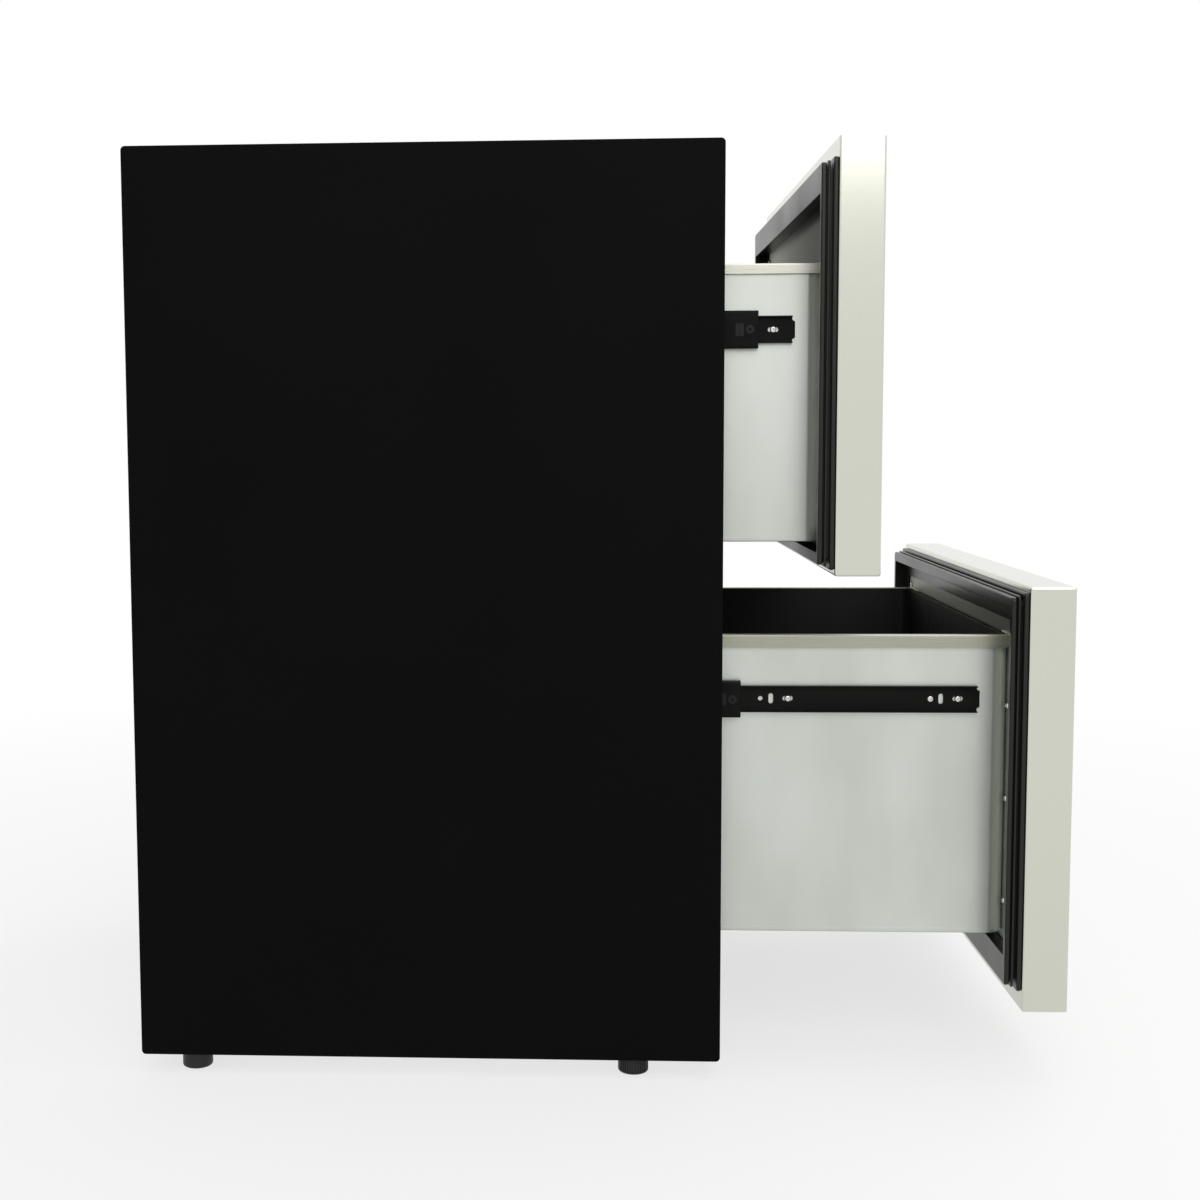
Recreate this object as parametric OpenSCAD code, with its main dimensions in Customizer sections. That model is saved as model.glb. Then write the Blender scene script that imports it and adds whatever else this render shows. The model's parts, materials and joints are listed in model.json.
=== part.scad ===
// Undercounter refrigerator with two telescopic drawers, drawn part way out.
// Millimetres. +Z is up, the drawers open towards -Y and +X is the right-hand
// side of someone who faces the fronts. The origin lies on the floor, under the
// middle of the footprint with the drawers where they rest.

/* [Cabinet] */
// Width of the cabinet and of the drawer fronts
cabinet_width = 597; // [560:1:640]
// Insulated side wall, from the outer face to the cavity
side_wall = 43.5; // [36:0.5:55]
// Insulated top wall
top_wall = 45; // [38:1:60]
// Insulated rear wall
rear_wall = 53; // [45:1:70]
// Sheet of the outer panels
panel_sheet = 1.2; // [0.8:0.1:2]
// Corner radius of the side panels
panel_corner = 4; // [2.5:0.5:8]
// Return flange of the side panels at the top, rear and bottom
edge_flange = 15; // [10:1:25]
// Sheet of the moulded inner liner
liner_sheet = 1.5; // [1:0.1:3]
// Free space between the rear ends of the slides and the liner
slide_rear_gap = 30.5; // [20:0.5:60]
// Thickness of the toe grille
grille_depth = 8; // [4:1:14]

/* [Machine compartment] */
// Depth of the compartment behind the lower drawer
machine_depth = 208; // [190:1:225]
// Height of the compartment above the cabinet's underside
machine_height = 270; // [250:1:300]
// Diameter of the compressor shell
compressor_diameter = 150; // [130:1:165]
// Height of the compressor shell
compressor_height = 165; // [140:1:190]
// Diameter of the condenser fan
condenser_fan_diameter = 130; // [100:1:140]

/* [Feet] */
// Height of the cabinet's underside above the floor
foot_height = 18; // [14:0.5:30]
// Diameter of a levelling foot
foot_diameter = 29; // [20:0.5:40]
// Distance of a foot's axis from the side of the cabinet
foot_side = 23.5; // [23.5:0.5:60]
// Distance of the front feet's axes from the front of the cabinet
foot_front = 81; // [40:1:150]
// Distance of the rear feet's axes from the rear of the cabinet
foot_rear = 49; // [40:1:100]
// Diameter of a foot's stem
stem_diameter = 8; // [6:0.5:9]
// How far a foot screws out from where it rests
foot_travel = 12; // [5:1:20]

/* [Drawer fronts] */
// Height of each front
front_height = 399; // [370:1:420]
// Thickness of a front without its gasket
front_thickness = 42; // [30:0.5:60]
// Gap between the two fronts
front_gap = 10; // [4:0.5:16]
// Height of the lower front's bottom edge above the floor
front_base = 69.5; // [68:0.5:90]
// How far the upper front stands above the cabinet's top
front_reveal = 1.5; // [0:0.5:5]
// Sheet of the stainless front skin
skin_sheet = 1.2; // [0.8:0.1:2]

/* [Gasket] */
// Thickness of the gasket's mounting base
gasket_base = 4.5; // [3:0.5:6]
// Depth of the waist between the base and the ridge
gasket_waist = 2.8; // [1.5:0.1:4]
// Thickness of the middle ridge
gasket_ridge = 2; // [1:0.1:3]
// Depth of the slit between the ridge and the magnet lobe
gasket_slit = 1.2; // [0.6:0.1:2]
// Thickness of the magnet lobe
gasket_lobe = 4.5; // [3:0.5:6]
// Width of the gasket along the sides of a front
gasket_side_width = 12; // [10:0.5:16]
// Width of the gasket along the end that faces the other front
gasket_inner_width = 15.5; // [12:0.5:17]
// Width of the gasket along the outer end
gasket_outer_width = 32; // [24:0.5:36]
// Inset of the gasket from the sides of a front
gasket_side_inset = 2; // [1:0.5:6]
// Inset of the gasket from a front's outer end
gasket_outer_inset = 18.5; // [12:0.5:22]
// Inset of the gasket from the end that faces the other front
gasket_inner_inset = 5.5; // [3:0.5:8]
// How far the ridge stands in from the outline of the base
gasket_ridge_step = 3; // [1:0.5:4]
// How far the rear lobe stands in from the outline of the base
gasket_lobe_step = 4.5; // [1:0.5:5]
// How deep the waist and the slit are cut in behind the ribs beside them
gasket_groove = 2; // [1:0.5:3]
// Corner radius of the gasket's outline
gasket_corner = 4; // [3.2:0.1:8]
// Thickness of the gasket's flat retaining flange
retainer_sheet = 1.5; // [1:0.1:2.5]
// Width of the flange showing along the sides
retainer_side = 19.5; // [12:0.5:22]
// Width of the flange showing along the end that faces the other front
retainer_inner = 16.5; // [10:0.5:20]
// How far the inner panel reaches under the gasket
panel_tuck = 4; // [2:0.5:8]

/* [Drawer boxes] */
// Bottom of the upper box above the bottom of its front
upper_box_bottom = 28.5; // [26:0.5:40]
// Rim of the upper box below the top of its front
upper_rim_drop = 109; // [95:1:130]
// Bottom of the lower box above the bottom of its front
lower_box_bottom = 58.5; // [55:0.5:70]
// Rim of the lower box below the top of its front
lower_rim_drop = 50.5; // [46:0.5:60]
// Sheet of the steel boxes
box_sheet = 1.2; // [0.8:0.1:2]
// Corner radius of the boxes, seen from above
box_corner = 17; // [16:0.5:25]
// How far the boxes end ahead of the slides' rear ends
box_rear_setback = 29.5; // [15:0.5:60]
// Height of the rail folded round the upper box's rim
upper_rail_height = 9.5; // [8:0.5:18]
// Height of the rail folded round the lower box's rim
lower_rail_height = 12; // [8:0.5:18]
// How far the rail stands proud of the box
rail_proud = 3; // [2:0.5:5]
// Width of the rail's top
rail_width = 8; // [8:0.5:12]
// Distance of the rail's front ends from the front of the box
rail_setback = 1.5; // [0.5:0.5:6]
// Wall of the black plastic tub
tub_wall = 2; // [1.2:0.1:3]
// Clearance between the tub and the box
tub_clearance = 0.3; // [0.2:0.1:0.6]
// Thickness of the strips that hold the box to its front
bracket_thickness = 3; // [2:0.5:4]
// Width of those strips
bracket_width = 38; // [30:1:60]
// Radius of the heads of the bracket screws
bracket_head_radius = 3.2; // [2.5:0.1:3.4]
// Thickness of the heads of the bracket screws
bracket_head_height = 3; // [2:0.5:3.5]

/* [Slides] */
// Length of the slide members
slide_length = 450; // [430:1:500]
// Overall thickness of a slide
slide_thickness = 12.7; // [12.5:0.1:14]
// Height of the cabinet member
outer_height = 45.7; // [45.2:0.1:46.2]
// Height of the middle member
middle_height = 35.4; // [35:0.1:35.8]
// Height of the drawer member
inner_height = 25.4; // [25:0.1:25.8]
// Sheet of the slide members
slide_sheet = 1.2; // [1:0.05:1.3]
// Setback of the slides from the cabinet's front
slide_front = 19.5; // [14:0.5:24]
// Height of a box's rim above its slide's axis
slide_drop = 61.5; // [45:0.5:80]
// How far the drawer members reach ahead of the other members when shut
inner_lead = 3; // [0:0.5:6]
// Travel of each of the two stages
stage_travel = 226; // [225:1:235]
// Radius of the balls
ball_radius = 1.7; // [1.5:0.05:1.75]
// Number of balls in a row
ball_count = 6; // [4:1:10]
// Length of a ball cage
cage_length = 210; // [160:1:214]
// Radius of the slide screws' heads
slide_head_radius = 3; // [2.6:0.1:4.2]

/* [Rest pose] */
// How far the upper middle members rest out of the cabinet
upper_middle_out = 55; // [1:1:200]
// How far the upper drawer rests ahead of its middle members
upper_drawer_out = 32; // [1:1:200]
// How far the lower middle members rest out of the cabinet
lower_middle_out = 41; // [1:1:200]
// How far the lower drawer rests ahead of its middle members
lower_drawer_out = 224; // [130:1:225]

/* [Hidden] */

$fn = 48;
UPPER = 0;
LOWER = 1;
eps = 0.5;

// Drawer fronts and openings, indexed by UPPER and LOWER
middle_out = [upper_middle_out, lower_middle_out];
drawer_out = [upper_drawer_out, lower_drawer_out];
front_z = [front_base + front_height + front_gap, front_base];
box_z = [front_z[UPPER] + upper_box_bottom, front_z[LOWER] + lower_box_bottom];
rim_z = [front_z[UPPER] + front_height - upper_rim_drop,
    front_z[LOWER] + front_height - lower_rim_drop];
slide_z = [rim_z[UPPER] - slide_drop, rim_z[LOWER] - slide_drop];
gasket_bottom = [front_z[UPPER] + gasket_inner_inset, front_z[LOWER] + gasket_outer_inset];
gasket_height = front_height - gasket_inner_inset - gasket_outer_inset;
gasket_depth = gasket_base + gasket_waist + gasket_ridge + gasket_slit + gasket_lobe;
gasket_bottom_width = [gasket_inner_width, gasket_outer_width];
gasket_top_width = [gasket_outer_width, gasket_inner_width];
retainer_bottom = [retainer_inner, 0];
retainer_top = [0, retainer_inner];

// Cabinet
half_width = cabinet_width / 2;
cabinet_depth = slide_front + slide_length + slide_rear_gap + rear_wall;
cabinet_top = front_base + 2 * front_height + front_gap - front_reveal;
front_reach = middle_out[LOWER] + drawer_out[LOWER] + gasket_depth + front_thickness;
front_plane_y = (front_reach - cabinet_depth) / 2;
cavity_half = half_width - side_wall;
cavity_rear = cabinet_depth - rear_wall;
cavity_top = cabinet_top - top_wall;
box_floor_gap = 16;
cavity_floor = box_z[LOWER] - box_floor_gap;
floor_foam = 44;
foam_bottom = cavity_floor - liner_sheet - floor_foam;
machine_front = cabinet_depth - machine_depth;
machine_top = foot_height + machine_height;
machine_insulation = 12;
hump_front = machine_front - machine_insulation;
hump_top = machine_top + machine_insulation;
pan_top = foot_height + panel_sheet;
fit_gap = 0.2;
rail_lip = 18;
grille_bottom = pan_top + fit_gap;
grille_top = foam_bottom - panel_sheet - fit_gap;
rear_sheet_y = cabinet_depth - 2 * panel_sheet;

// Boxes
box_half = cavity_half - slide_thickness;
box_front = -gasket_depth + bracket_thickness;
box_rear = slide_front + slide_length - box_rear_setback;
hump_gap = 12;
lower_floor_rear = hump_front - hump_gap;
lower_step_z = hump_top + hump_gap;
// Rear end and height of the step under each box; the upper box has none
step_rear = [box_rear, lower_floor_rear];
step_z = [box_z[UPPER], lower_step_z];
rail_height = [upper_rail_height, lower_rail_height];
bracket_reach = 1;
bracket_gap = 1;
bracket_screw_x = box_half - bracket_head_radius + 0.5;
// Heights of the bracket screws above the bottom of the front
bracket_screw_up = [[77.5, 169.5], [90, 190, 280]];

// Slides, measured inwards from the cavity wall
outer_reach = 9.5;
outer_lip = 2.6;
middle_start = 3.6;
middle_end = 11;
middle_lip = 0.9;
inner_start = 6.8;
outer_ball_place = 6;
inner_ball_place = 8.2;
cage_sheet = 0.8;
outer_cage_start = 2;
outer_cage_end = 8;
inner_cage_start = 5.4;
inner_cage_end = 9.9;
cage_front = slide_front + stage_travel / 2 + 5;
outer_ball_z = (outer_height / 2 - slide_sheet + middle_height / 2) / 2;
inner_ball_z = (middle_height / 2 - slide_sheet + inner_height / 2) / 2;
slide_hole_radius = 2.3;
slot_length = 10;
// Screw slots, measured from the cabinet's front with the drawer shut; the
// cross slot and the round hole beside each lie towards the slide's middle
screw_slots = [slide_front + 17.5, slide_front + 178.5, box_rear - box_corner - 5];
toward_middle = [1, 1, -1];
cross_slot_step = 16;
round_hole_step = 26;
screw_shank = 2;
slide_head_height = 1.8;

// Mullion between the cavity's two openings
mullion_gap = 7.5;
mullion_bottom = rim_z[LOWER] + mullion_gap;
mullion_top = box_z[UPPER] - mullion_gap;
mullion_depth = 40;

// Evaporator, set between the slides behind the upper box
cover_gap = 9;
cover_side_gap = 6;
cover_rise = 62;
cover_top_gap = 2;
cover_wall = 1.5;
cover_front = box_rear + rail_proud + cover_gap;
cover_half = box_half - cover_side_gap;
cover_bottom = front_z[UPPER] + cover_rise;
cover_top = cavity_top - cover_top_gap;
evaporator_fan_radius = 50;
evaporator_fan_depth = 18;
evaporator_fan_drop = 92;
evaporator_fan_z = cover_top - evaporator_fan_drop;
fan_bracket_sheet = 2;
fan_motor_length = 20;
evaporator_motor_rear = cavity_rear - fan_bracket_sheet;
evaporator_motor_front = evaporator_motor_rear - fan_motor_length;
evaporator_shaft_length = 20;
evaporator_fan_front = evaporator_motor_front - evaporator_shaft_length;
fan_shaft_radius = 3;
fan_bore_gap = 0.05;
hub_radius = 16;

// Finned coils
coil_bend = 8;
coil_tube_radius = 4;
coil_tube_pitch = 25;
coil_fin = 0.8;

// Machine compartment
machine_middle = (machine_front + cabinet_depth) / 2;
grommet_height = 12;
compressor_bottom = pan_top + grommet_height;
compressor_plate = 4;
compressor_overhang = 8;
compressor_side_gap = 59.5;
stub_length = 22;
stub_radius = 4;
stub_drop = 30;
condenser_length = 200;
condenser_height = 170;
condenser_depth = 46;
condenser_side_gap = 5.5;
condenser_rear_gap = 24;
condenser_rear = cabinet_depth - condenser_rear_gap;
condenser_front = condenser_rear - condenser_depth;
shroud_depth = 9;
shroud_sheet = 2;
shroud_front = condenser_front - shroud_depth;
condenser_fan_depth = 20;
condenser_fan_gap = 6;
condenser_fan_z = pan_top + condenser_height / 2;
gland_side_gap = 93.5;
gland_x = gland_side_gap - half_width;
gland_z = foot_height + 55;
gland_radius = 11;
gland_bore = 4.5;
gland_collar = 3;
gland_length = 13;
cover_screw_radius = 3.5;
cover_screw_x = half_width - edge_flange / 2;
cover_screw_z = [foot_height + 40, foot_height + machine_height / 2, machine_top - 35];

// Feet
foot_x = half_width - foot_side;
foot_y = [foot_front, cabinet_depth - foot_rear];
foot_gap = 0.3;
stem_gap = 0.3;
nut_wall = 3.5;
nut_radius = stem_diameter / 2 + nut_wall;
nut_height = 8;
stem_top = pan_top + nut_height + foot_travel + 2;

// The compressor stands beside the left rear foot, the condenser beside the
// right one
compressor_x = compressor_diameter / 2 + compressor_overhang + compressor_side_gap
    + nut_radius - foot_x;
condenser_right = foot_x - nut_radius - condenser_side_gap - coil_bend - coil_tube_radius;
condenser_x = condenser_right - condenser_length / 2;

steel_black = [0.07, 0.07, 0.07];
plastic_black = [0.06, 0.06, 0.06];
stainless = [0.75, 0.75, 0.71];
box_grey = [0.78, 0.8, 0.77];
zinc = [0.7, 0.7, 0.68];
galvanised = [0.6, 0.62, 0.62];
foam_cream = [0.87, 0.8, 0.6];

// ---- places: what each body stands on ----

module at_cabinet() {
    translate([0, front_plane_y, 0]) children();
}

module at_middle(which) {
    translate([0, front_plane_y - middle_out[which], 0]) children();
}

module at_drawer(which) {
    translate([0, front_plane_y - middle_out[which] - drawer_out[which], 0]) children();
}

module both_sides() {
    children();
    mirror([1, 0, 0]) children();
}

// ---- shapes ----

module slab(low, high) {
    translate(low) cube(high - low);
}

// Rectangle with round corners, from one corner to the other
module round_outline(low, high, radius) {
    translate([low[0] + radius, low[1]]) square([high[0] - low[0] - 2 * radius, high[1] - low[1]]);
    translate([low[0], low[1] + radius]) square([high[0] - low[0], high[1] - low[1] - 2 * radius]);
    for (x = [low[0] + radius, high[0] - radius])
        for (y = [low[1] + radius, high[1] - radius])
            translate([x, y]) circle(r = radius);
}

// Plate whose outline lies in X and Z, from y to y + thickness
module upright_plate(low, high, radius, y, thickness) {
    translate([0, y + thickness, 0]) rotate([90, 0, 0])
        linear_extrude(height = thickness) round_outline(low, high, radius);
}

module rod_y(x, z, y_low, y_high, radius) {
    translate([x, y_low, z]) rotate([-90, 0, 0]) cylinder(h = y_high - y_low, r = radius);
}

module rod_x(x_low, x_high, y, z, radius) {
    translate([x_low, y, z]) rotate([0, 90, 0]) cylinder(h = x_high - x_low, r = radius);
}

// ---- cabinet ----

// Outline of the cabinet's wrapper in Y and Z, inset from its outer faces
module wrapper_outline(inset) {
    round_outline([inset, foot_height + inset], [cabinet_depth - inset, cabinet_top - inset],
        panel_corner - inset);
}

module wrapper_block(half, inset) {
    translate([-half, 0, 0]) rotate([90, 0, 90]) linear_extrude(height = 2 * half)
        wrapper_outline(inset);
}

// Tray of black sheet: the web, a wide front flange and narrow ones elsewhere
module side_tray() {
    difference() {
        wrapper_block(half_width, 0);
        wrapper_block(half_width - panel_sheet, panel_sheet);
        slab([-half_width + edge_flange, panel_sheet, 0],
            [half_width + eps, cabinet_depth + eps, cabinet_top + eps]);
        slab([-cavity_half, -eps, 0], [half_width + eps, cabinet_depth, cabinet_top + eps]);
        for (z = cover_screw_z)
            rod_y(-cover_screw_x, z, cabinet_depth - panel_sheet - eps, cabinet_depth + eps,
                cover_screw_radius + fit_gap);
    }
}

module left_side_panel() {
    color(steel_black) at_cabinet() side_tray();
}

module right_side_panel() {
    color(steel_black) at_cabinet() mirror([1, 0, 0]) side_tray();
}

// Top sheet, folded down to the cavity in front and a little way at the rear
module top_panel() {
    half = half_width - edge_flange;
    color(steel_black) at_cabinet() difference() {
        wrapper_block(half, 0);
        wrapper_block(half + eps, panel_sheet);
        slab([-half - eps, -eps, 0], [half + eps, cabinet_depth / 2, cavity_top]);
        slab([-half - eps, cabinet_depth / 2, 0],
            [half + eps, cabinet_depth + eps, cabinet_top - edge_flange]);
        both_sides() slab([-half - eps, -eps, 0], [-cavity_half, panel_sheet, cabinet_top + eps]);
    }
}

// Rear sheet, foamed in place inside the side panels' flanges
module rear_panel() {
    color(galvanised) at_cabinet() intersection() {
        wrapper_block(half_width - panel_sheet, panel_sheet);
        slab([-half_width, rear_sheet_y, machine_top],
            [half_width, rear_sheet_y + panel_sheet, cabinet_top]);
    }
}

// Floor of the cabinet with a rear flange, side flanges and the four welded
// nuts that take the feet
module base_pan() {
    half = half_width - edge_flange;
    wall = 16;
    color(galvanised) at_cabinet() difference() {
        union() {
            slab([-half, panel_sheet, foot_height], [half, rear_sheet_y, pan_top]);
            slab([-half, rear_sheet_y - panel_sheet, foot_height], [half, rear_sheet_y, pan_top + wall]);
            both_sides() slab([-half, panel_sheet, foot_height],
                [-half + panel_sheet, rear_sheet_y, pan_top + wall]);
            both_sides() for (y = foot_y)
                translate([-foot_x, y, foot_height]) cylinder(h = panel_sheet + nut_height, r = nut_radius);
        }
        both_sides() for (y = foot_y)
            translate([-foot_x, y, foot_height - eps])
                cylinder(h = panel_sheet + nut_height + 2 * eps, r = stem_diameter / 2 + stem_gap);
    }
}

// Front cross rail under the cavity, folded back over the grille
module lower_rail() {
    color(steel_black) at_cabinet() {
        slab([-cavity_half, 0, foam_bottom - panel_sheet], [cavity_half, panel_sheet, cavity_floor]);
        slab([-cavity_half, panel_sheet, foam_bottom - panel_sheet],
            [cavity_half, rail_lip, foam_bottom]);
    }
}

// Cavity grown outwards by a margin, from the given front plane, with the
// hump over the machine compartment at its rear
module cavity_block(margin, front) {
    half = cavity_half + margin;
    translate([-half, 0, 0]) rotate([90, 0, 90]) linear_extrude(height = 2 * half)
        polygon([[front, cavity_floor - margin],
            [hump_front + margin, cavity_floor - margin],
            [hump_front + margin, hump_top - margin],
            [cavity_rear + margin, hump_top - margin],
            [cavity_rear + margin, cavity_top + margin],
            [front, cavity_top + margin]]);
}

module inner_liner() {
    color([0.16, 0.16, 0.16]) at_cabinet() difference() {
        cavity_block(liner_sheet, panel_sheet);
        cavity_block(0, panel_sheet - eps);
    }
}

// Foam round the cavity and inside the centre mullion
module insulation_foam() {
    color(foam_cream) at_cabinet() {
        difference() {
            wrapper_block(half_width - panel_sheet, panel_sheet);
            slab([-half_width, 0, 0], [half_width, cabinet_depth, foam_bottom]);
            slab([-half_width, rear_sheet_y, 0], [half_width, cabinet_depth, cabinet_top]);
            slab([-half_width, machine_front, 0], [half_width, cabinet_depth, machine_top]);
            cavity_block(liner_sheet, 0);
        }
        slab([-cavity_half, panel_sheet, mullion_bottom + panel_sheet],
            [cavity_half, mullion_depth - panel_sheet, mullion_top - panel_sheet]);
    }
}

// Channel between the openings, which the gaskets of both fronts close against
module center_mullion() {
    color(steel_black) at_cabinet() difference() {
        slab([-cavity_half, 0, mullion_bottom], [cavity_half, mullion_depth, mullion_top]);
        slab([-cavity_half - eps, panel_sheet, mullion_bottom + panel_sheet],
            [cavity_half + eps, mullion_depth - panel_sheet, mullion_top - panel_sheet]);
    }
}

// Hollow louvred panel across the toe space
module kick_grille() {
    half = cavity_half - fit_gap;
    height = grille_top - grille_bottom;
    wall = 2;
    slot_height = 4;
    slot_width = 44;
    slot_rows = 4;
    slot_columns = 9;
    border = 3;
    row_pitch = (height - 2 * border) / slot_rows;
    column_pitch = 2 * half / (slot_columns + 0.5);
    color(plastic_black) at_cabinet() difference() {
        slab([-half, 0, grille_bottom], [half, grille_depth, grille_top]);
        slab([-half + wall, wall, grille_bottom + wall],
            [half - wall, grille_depth + eps, grille_top - wall]);
        for (row = [0 : slot_rows - 1])
            for (column = [0 : slot_columns - 1])
                translate([(column - (slot_columns - 1) / 2) * column_pitch, 0,
                    grille_bottom + border + (row + 0.5) * row_pitch])
                    cube([slot_width, 3 * wall, slot_height], center = true);
    }
}

// ---- cooling inside the cavity ----

// Tray over the coil with a slotted round grille for the fan and return slots below
module evaporator_cover() {
    rear = cover_front + cover_wall;
    grille_radius = evaporator_fan_radius + 6;
    bar_pitch = 10;
    bar_slot = 6;
    slot_pitch = 44;
    slot_half = 16;
    slot_low = cover_bottom + 14;
    slot_height = 5;
    color([0.2, 0.2, 0.2]) at_cabinet() difference() {
        slab([-cover_half, cover_front, cover_bottom], [cover_half, cavity_rear, cover_top]);
        slab([-cover_half + cover_wall, rear, cover_bottom + cover_wall],
            [cover_half - cover_wall, cavity_rear + eps, cover_top - cover_wall]);
        intersection() {
            rod_y(0, evaporator_fan_z, cover_front - eps, rear + eps, grille_radius);
            for (z = [-grille_radius : bar_pitch : grille_radius])
                slab([-grille_radius, cover_front - eps, evaporator_fan_z + z],
                    [grille_radius, rear + eps, evaporator_fan_z + z + bar_slot]);
        }
        for (column = [-4 : 4])
            slab([column * slot_pitch - slot_half, cover_front - eps, slot_low],
                [column * slot_pitch + slot_half, rear + eps, slot_low + slot_height]);
    }
}

// Block of fins on horizontal tubes
module finned_coil(low, high, pitch) {
    tubes = floor((high[2] - low[2]) / coil_tube_pitch);
    step = (high[2] - low[2]) / tubes;
    y_middle = (low[1] + high[1]) / 2;
    for (x = [low[0] : pitch : high[0] - coil_fin])
        slab([x, low[1], low[2]], [x + coil_fin, high[1], high[2]]);
    for (k = [0 : tubes - 1])
        rod_x(low[0] - coil_bend, high[0] + coil_bend, y_middle, low[2] + (k + 0.5) * step,
            coil_tube_radius);
    for (k = [0 : tubes - 2])
        translate([k % 2 == 0 ? high[0] + coil_bend : low[0] - coil_bend, y_middle,
            low[2] + (k + 1) * step])
            cube([2 * coil_tube_radius, 2 * coil_tube_radius, step + 2 * coil_tube_radius],
                center = true);
}

module evaporator_coil() {
    side_gap = 24;
    front_gap = 10;
    rise = 26;
    height = 86;
    color([0.75, 0.76, 0.77]) at_cabinet()
        finned_coil([-cover_half + side_gap, cover_front + front_gap, cover_bottom + rise],
            [cover_half - side_gap, cavity_rear, cover_bottom + rise + height], 9);
}

// Motor on a bracket fixed to the liner behind the fan
module evaporator_fan_motor() {
    motor_radius = 20;
    arm_reach = 62;
    arm_half = 10;
    color([0.3, 0.3, 0.31]) at_cabinet() {
        rod_y(0, evaporator_fan_z, evaporator_motor_front, evaporator_motor_rear, motor_radius);
        rod_y(0, evaporator_fan_z, evaporator_fan_front, evaporator_motor_front, fan_shaft_radius);
        slab([-arm_reach, evaporator_motor_rear, evaporator_fan_z - arm_half],
            [arm_reach, cavity_rear, evaporator_fan_z + arm_half]);
    }
}

// Axial fan with flat tilted blades, its hub bored for the motor's shaft
module axial_fan(x, z, y_low, radius, depth) {
    blades = 5;
    blade_sheet = 1.6;
    blade_root = 2;
    blade_tilt = 28;
    chord = radius * 0.54;
    translate([x, y_low, z]) rotate([-90, 0, 0]) difference() {
        union() {
            cylinder(h = depth, r = hub_radius);
            intersection() {
                for (k = [0 : blades - 1])
                    rotate([0, 0, k * 360 / blades])
                        translate([hub_radius - blade_root, 0, depth / 2]) rotate([blade_tilt, 0, 0])
                            translate([0, -chord / 2, -blade_sheet / 2])
                                cube([radius, chord, blade_sheet]);
                cylinder(h = depth, r = radius);
            }
        }
        translate([0, 0, -eps]) cylinder(h = depth + 2 * eps, r = fan_shaft_radius + fan_bore_gap);
    }
}

module evaporator_fan() {
    color([0.12, 0.12, 0.12]) at_cabinet()
        axial_fan(0, evaporator_fan_z, evaporator_fan_front, evaporator_fan_radius,
            evaporator_fan_depth);
}

// Thermostat box under the cavity's ceiling
control_half = 70;
control_front = 34;
control_depth = 62;
control_height = 30;
knob_x = -34;
knob_radius = 14;
knob_depth = 13;
knob_z = cavity_top - control_height / 2;
knob_gap = 0.3;
knob_pin_radius = 3;
knob_pin_length = 8;
lamp_left = 8;
lamp_border = 6;
lamp_ceiling = 4;
lamp_wall = 2;
lamp_gap = 0.3;

module control_housing() {
    color([0.2, 0.2, 0.2]) at_cabinet() difference() {
        union() {
            slab([-control_half, control_front, cavity_top - control_height],
                [control_half, control_front + control_depth, cavity_top]);
            rod_y(knob_x, knob_z, control_front - knob_pin_length, control_front, knob_pin_radius);
        }
        slab([lamp_left, control_front - eps, cavity_top - control_height - eps],
            [control_half - lamp_border, control_front + control_depth - lamp_border,
                cavity_top - lamp_ceiling]);
    }
}

module lamp_cover() {
    low = [lamp_left + lamp_gap, control_front, cavity_top - control_height];
    high = [control_half - lamp_border - lamp_gap, control_front + control_depth - lamp_border - lamp_gap,
        cavity_top - lamp_ceiling - lamp_gap];
    color([0.95, 0.95, 0.9, 0.6]) at_cabinet() difference() {
        slab(low, high);
        slab(low + [lamp_wall, lamp_wall, lamp_wall], high + [-lamp_wall, -lamp_wall, eps]);
    }
}

module thermostat_knob() {
    ridge = 4;
    rear = control_front - knob_gap;
    color([0.85, 0.85, 0.83]) at_cabinet() difference() {
        union() {
            rod_y(knob_x, knob_z, rear - knob_depth, rear, knob_radius);
            translate([knob_x, rear - knob_depth - ridge / 2, knob_z])
                cube([ridge, ridge, 2 * knob_radius - ridge], center = true);
        }
        rod_y(knob_x, knob_z, rear - knob_pin_length, control_front, knob_pin_radius + fan_bore_gap);
    }
}

// ---- machine compartment ----

grommet_neck = 4.8;

module at_grommets() {
    for (x = [-1, 1])
        for (y = [-1, 1])
            translate([x * (compressor_diameter / 2 - 6), y * (compressor_diameter / 2 - 20), 0])
                children();
}

// Welded steel shell on a base plate that stands on four grommets
module compressor() {
    radius = compressor_diameter / 2;
    half = radius + compressor_overhang;
    plate_half = radius - 8;
    shoulder = 24;
    flange = 3;
    middle = compressor_height * 0.55;
    color([0.08, 0.08, 0.08]) at_cabinet() translate([compressor_x, machine_middle, compressor_bottom]) {
        translate([0, 0, compressor_plate]) rotate_extrude() {
            square([radius - shoulder, compressor_height]);
            translate([0, shoulder]) square([radius, compressor_height - 2 * shoulder]);
            for (z = [shoulder, compressor_height - shoulder])
                intersection() {
                    translate([radius - shoulder, z]) circle(r = shoulder);
                    square([radius, compressor_height]);
                }
            translate([0, middle]) square([radius + flange, flange]);
        }
        difference() {
            slab([-half, -plate_half, 0], [half, plate_half, compressor_plate]);
            at_grommets() translate([0, 0, -eps])
                cylinder(h = compressor_plate + 2 * eps, r = grommet_neck + fit_gap);
        }
        rod_x(radius - stub_radius, radius + stub_length, 0, compressor_height - stub_drop, stub_radius);
    }
}

module compressor_grommets() {
    radius = 11;
    bore = 3;
    height = grommet_height + compressor_plate;
    color([0.1, 0.1, 0.1]) at_cabinet() translate([compressor_x, machine_middle, pan_top])
        at_grommets() difference() {
            union() {
                cylinder(h = grommet_height, r = radius);
                cylinder(h = height, r = grommet_neck);
            }
            translate([0, 0, -eps]) cylinder(h = height + 2 * eps, r = bore);
        }
}

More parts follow.
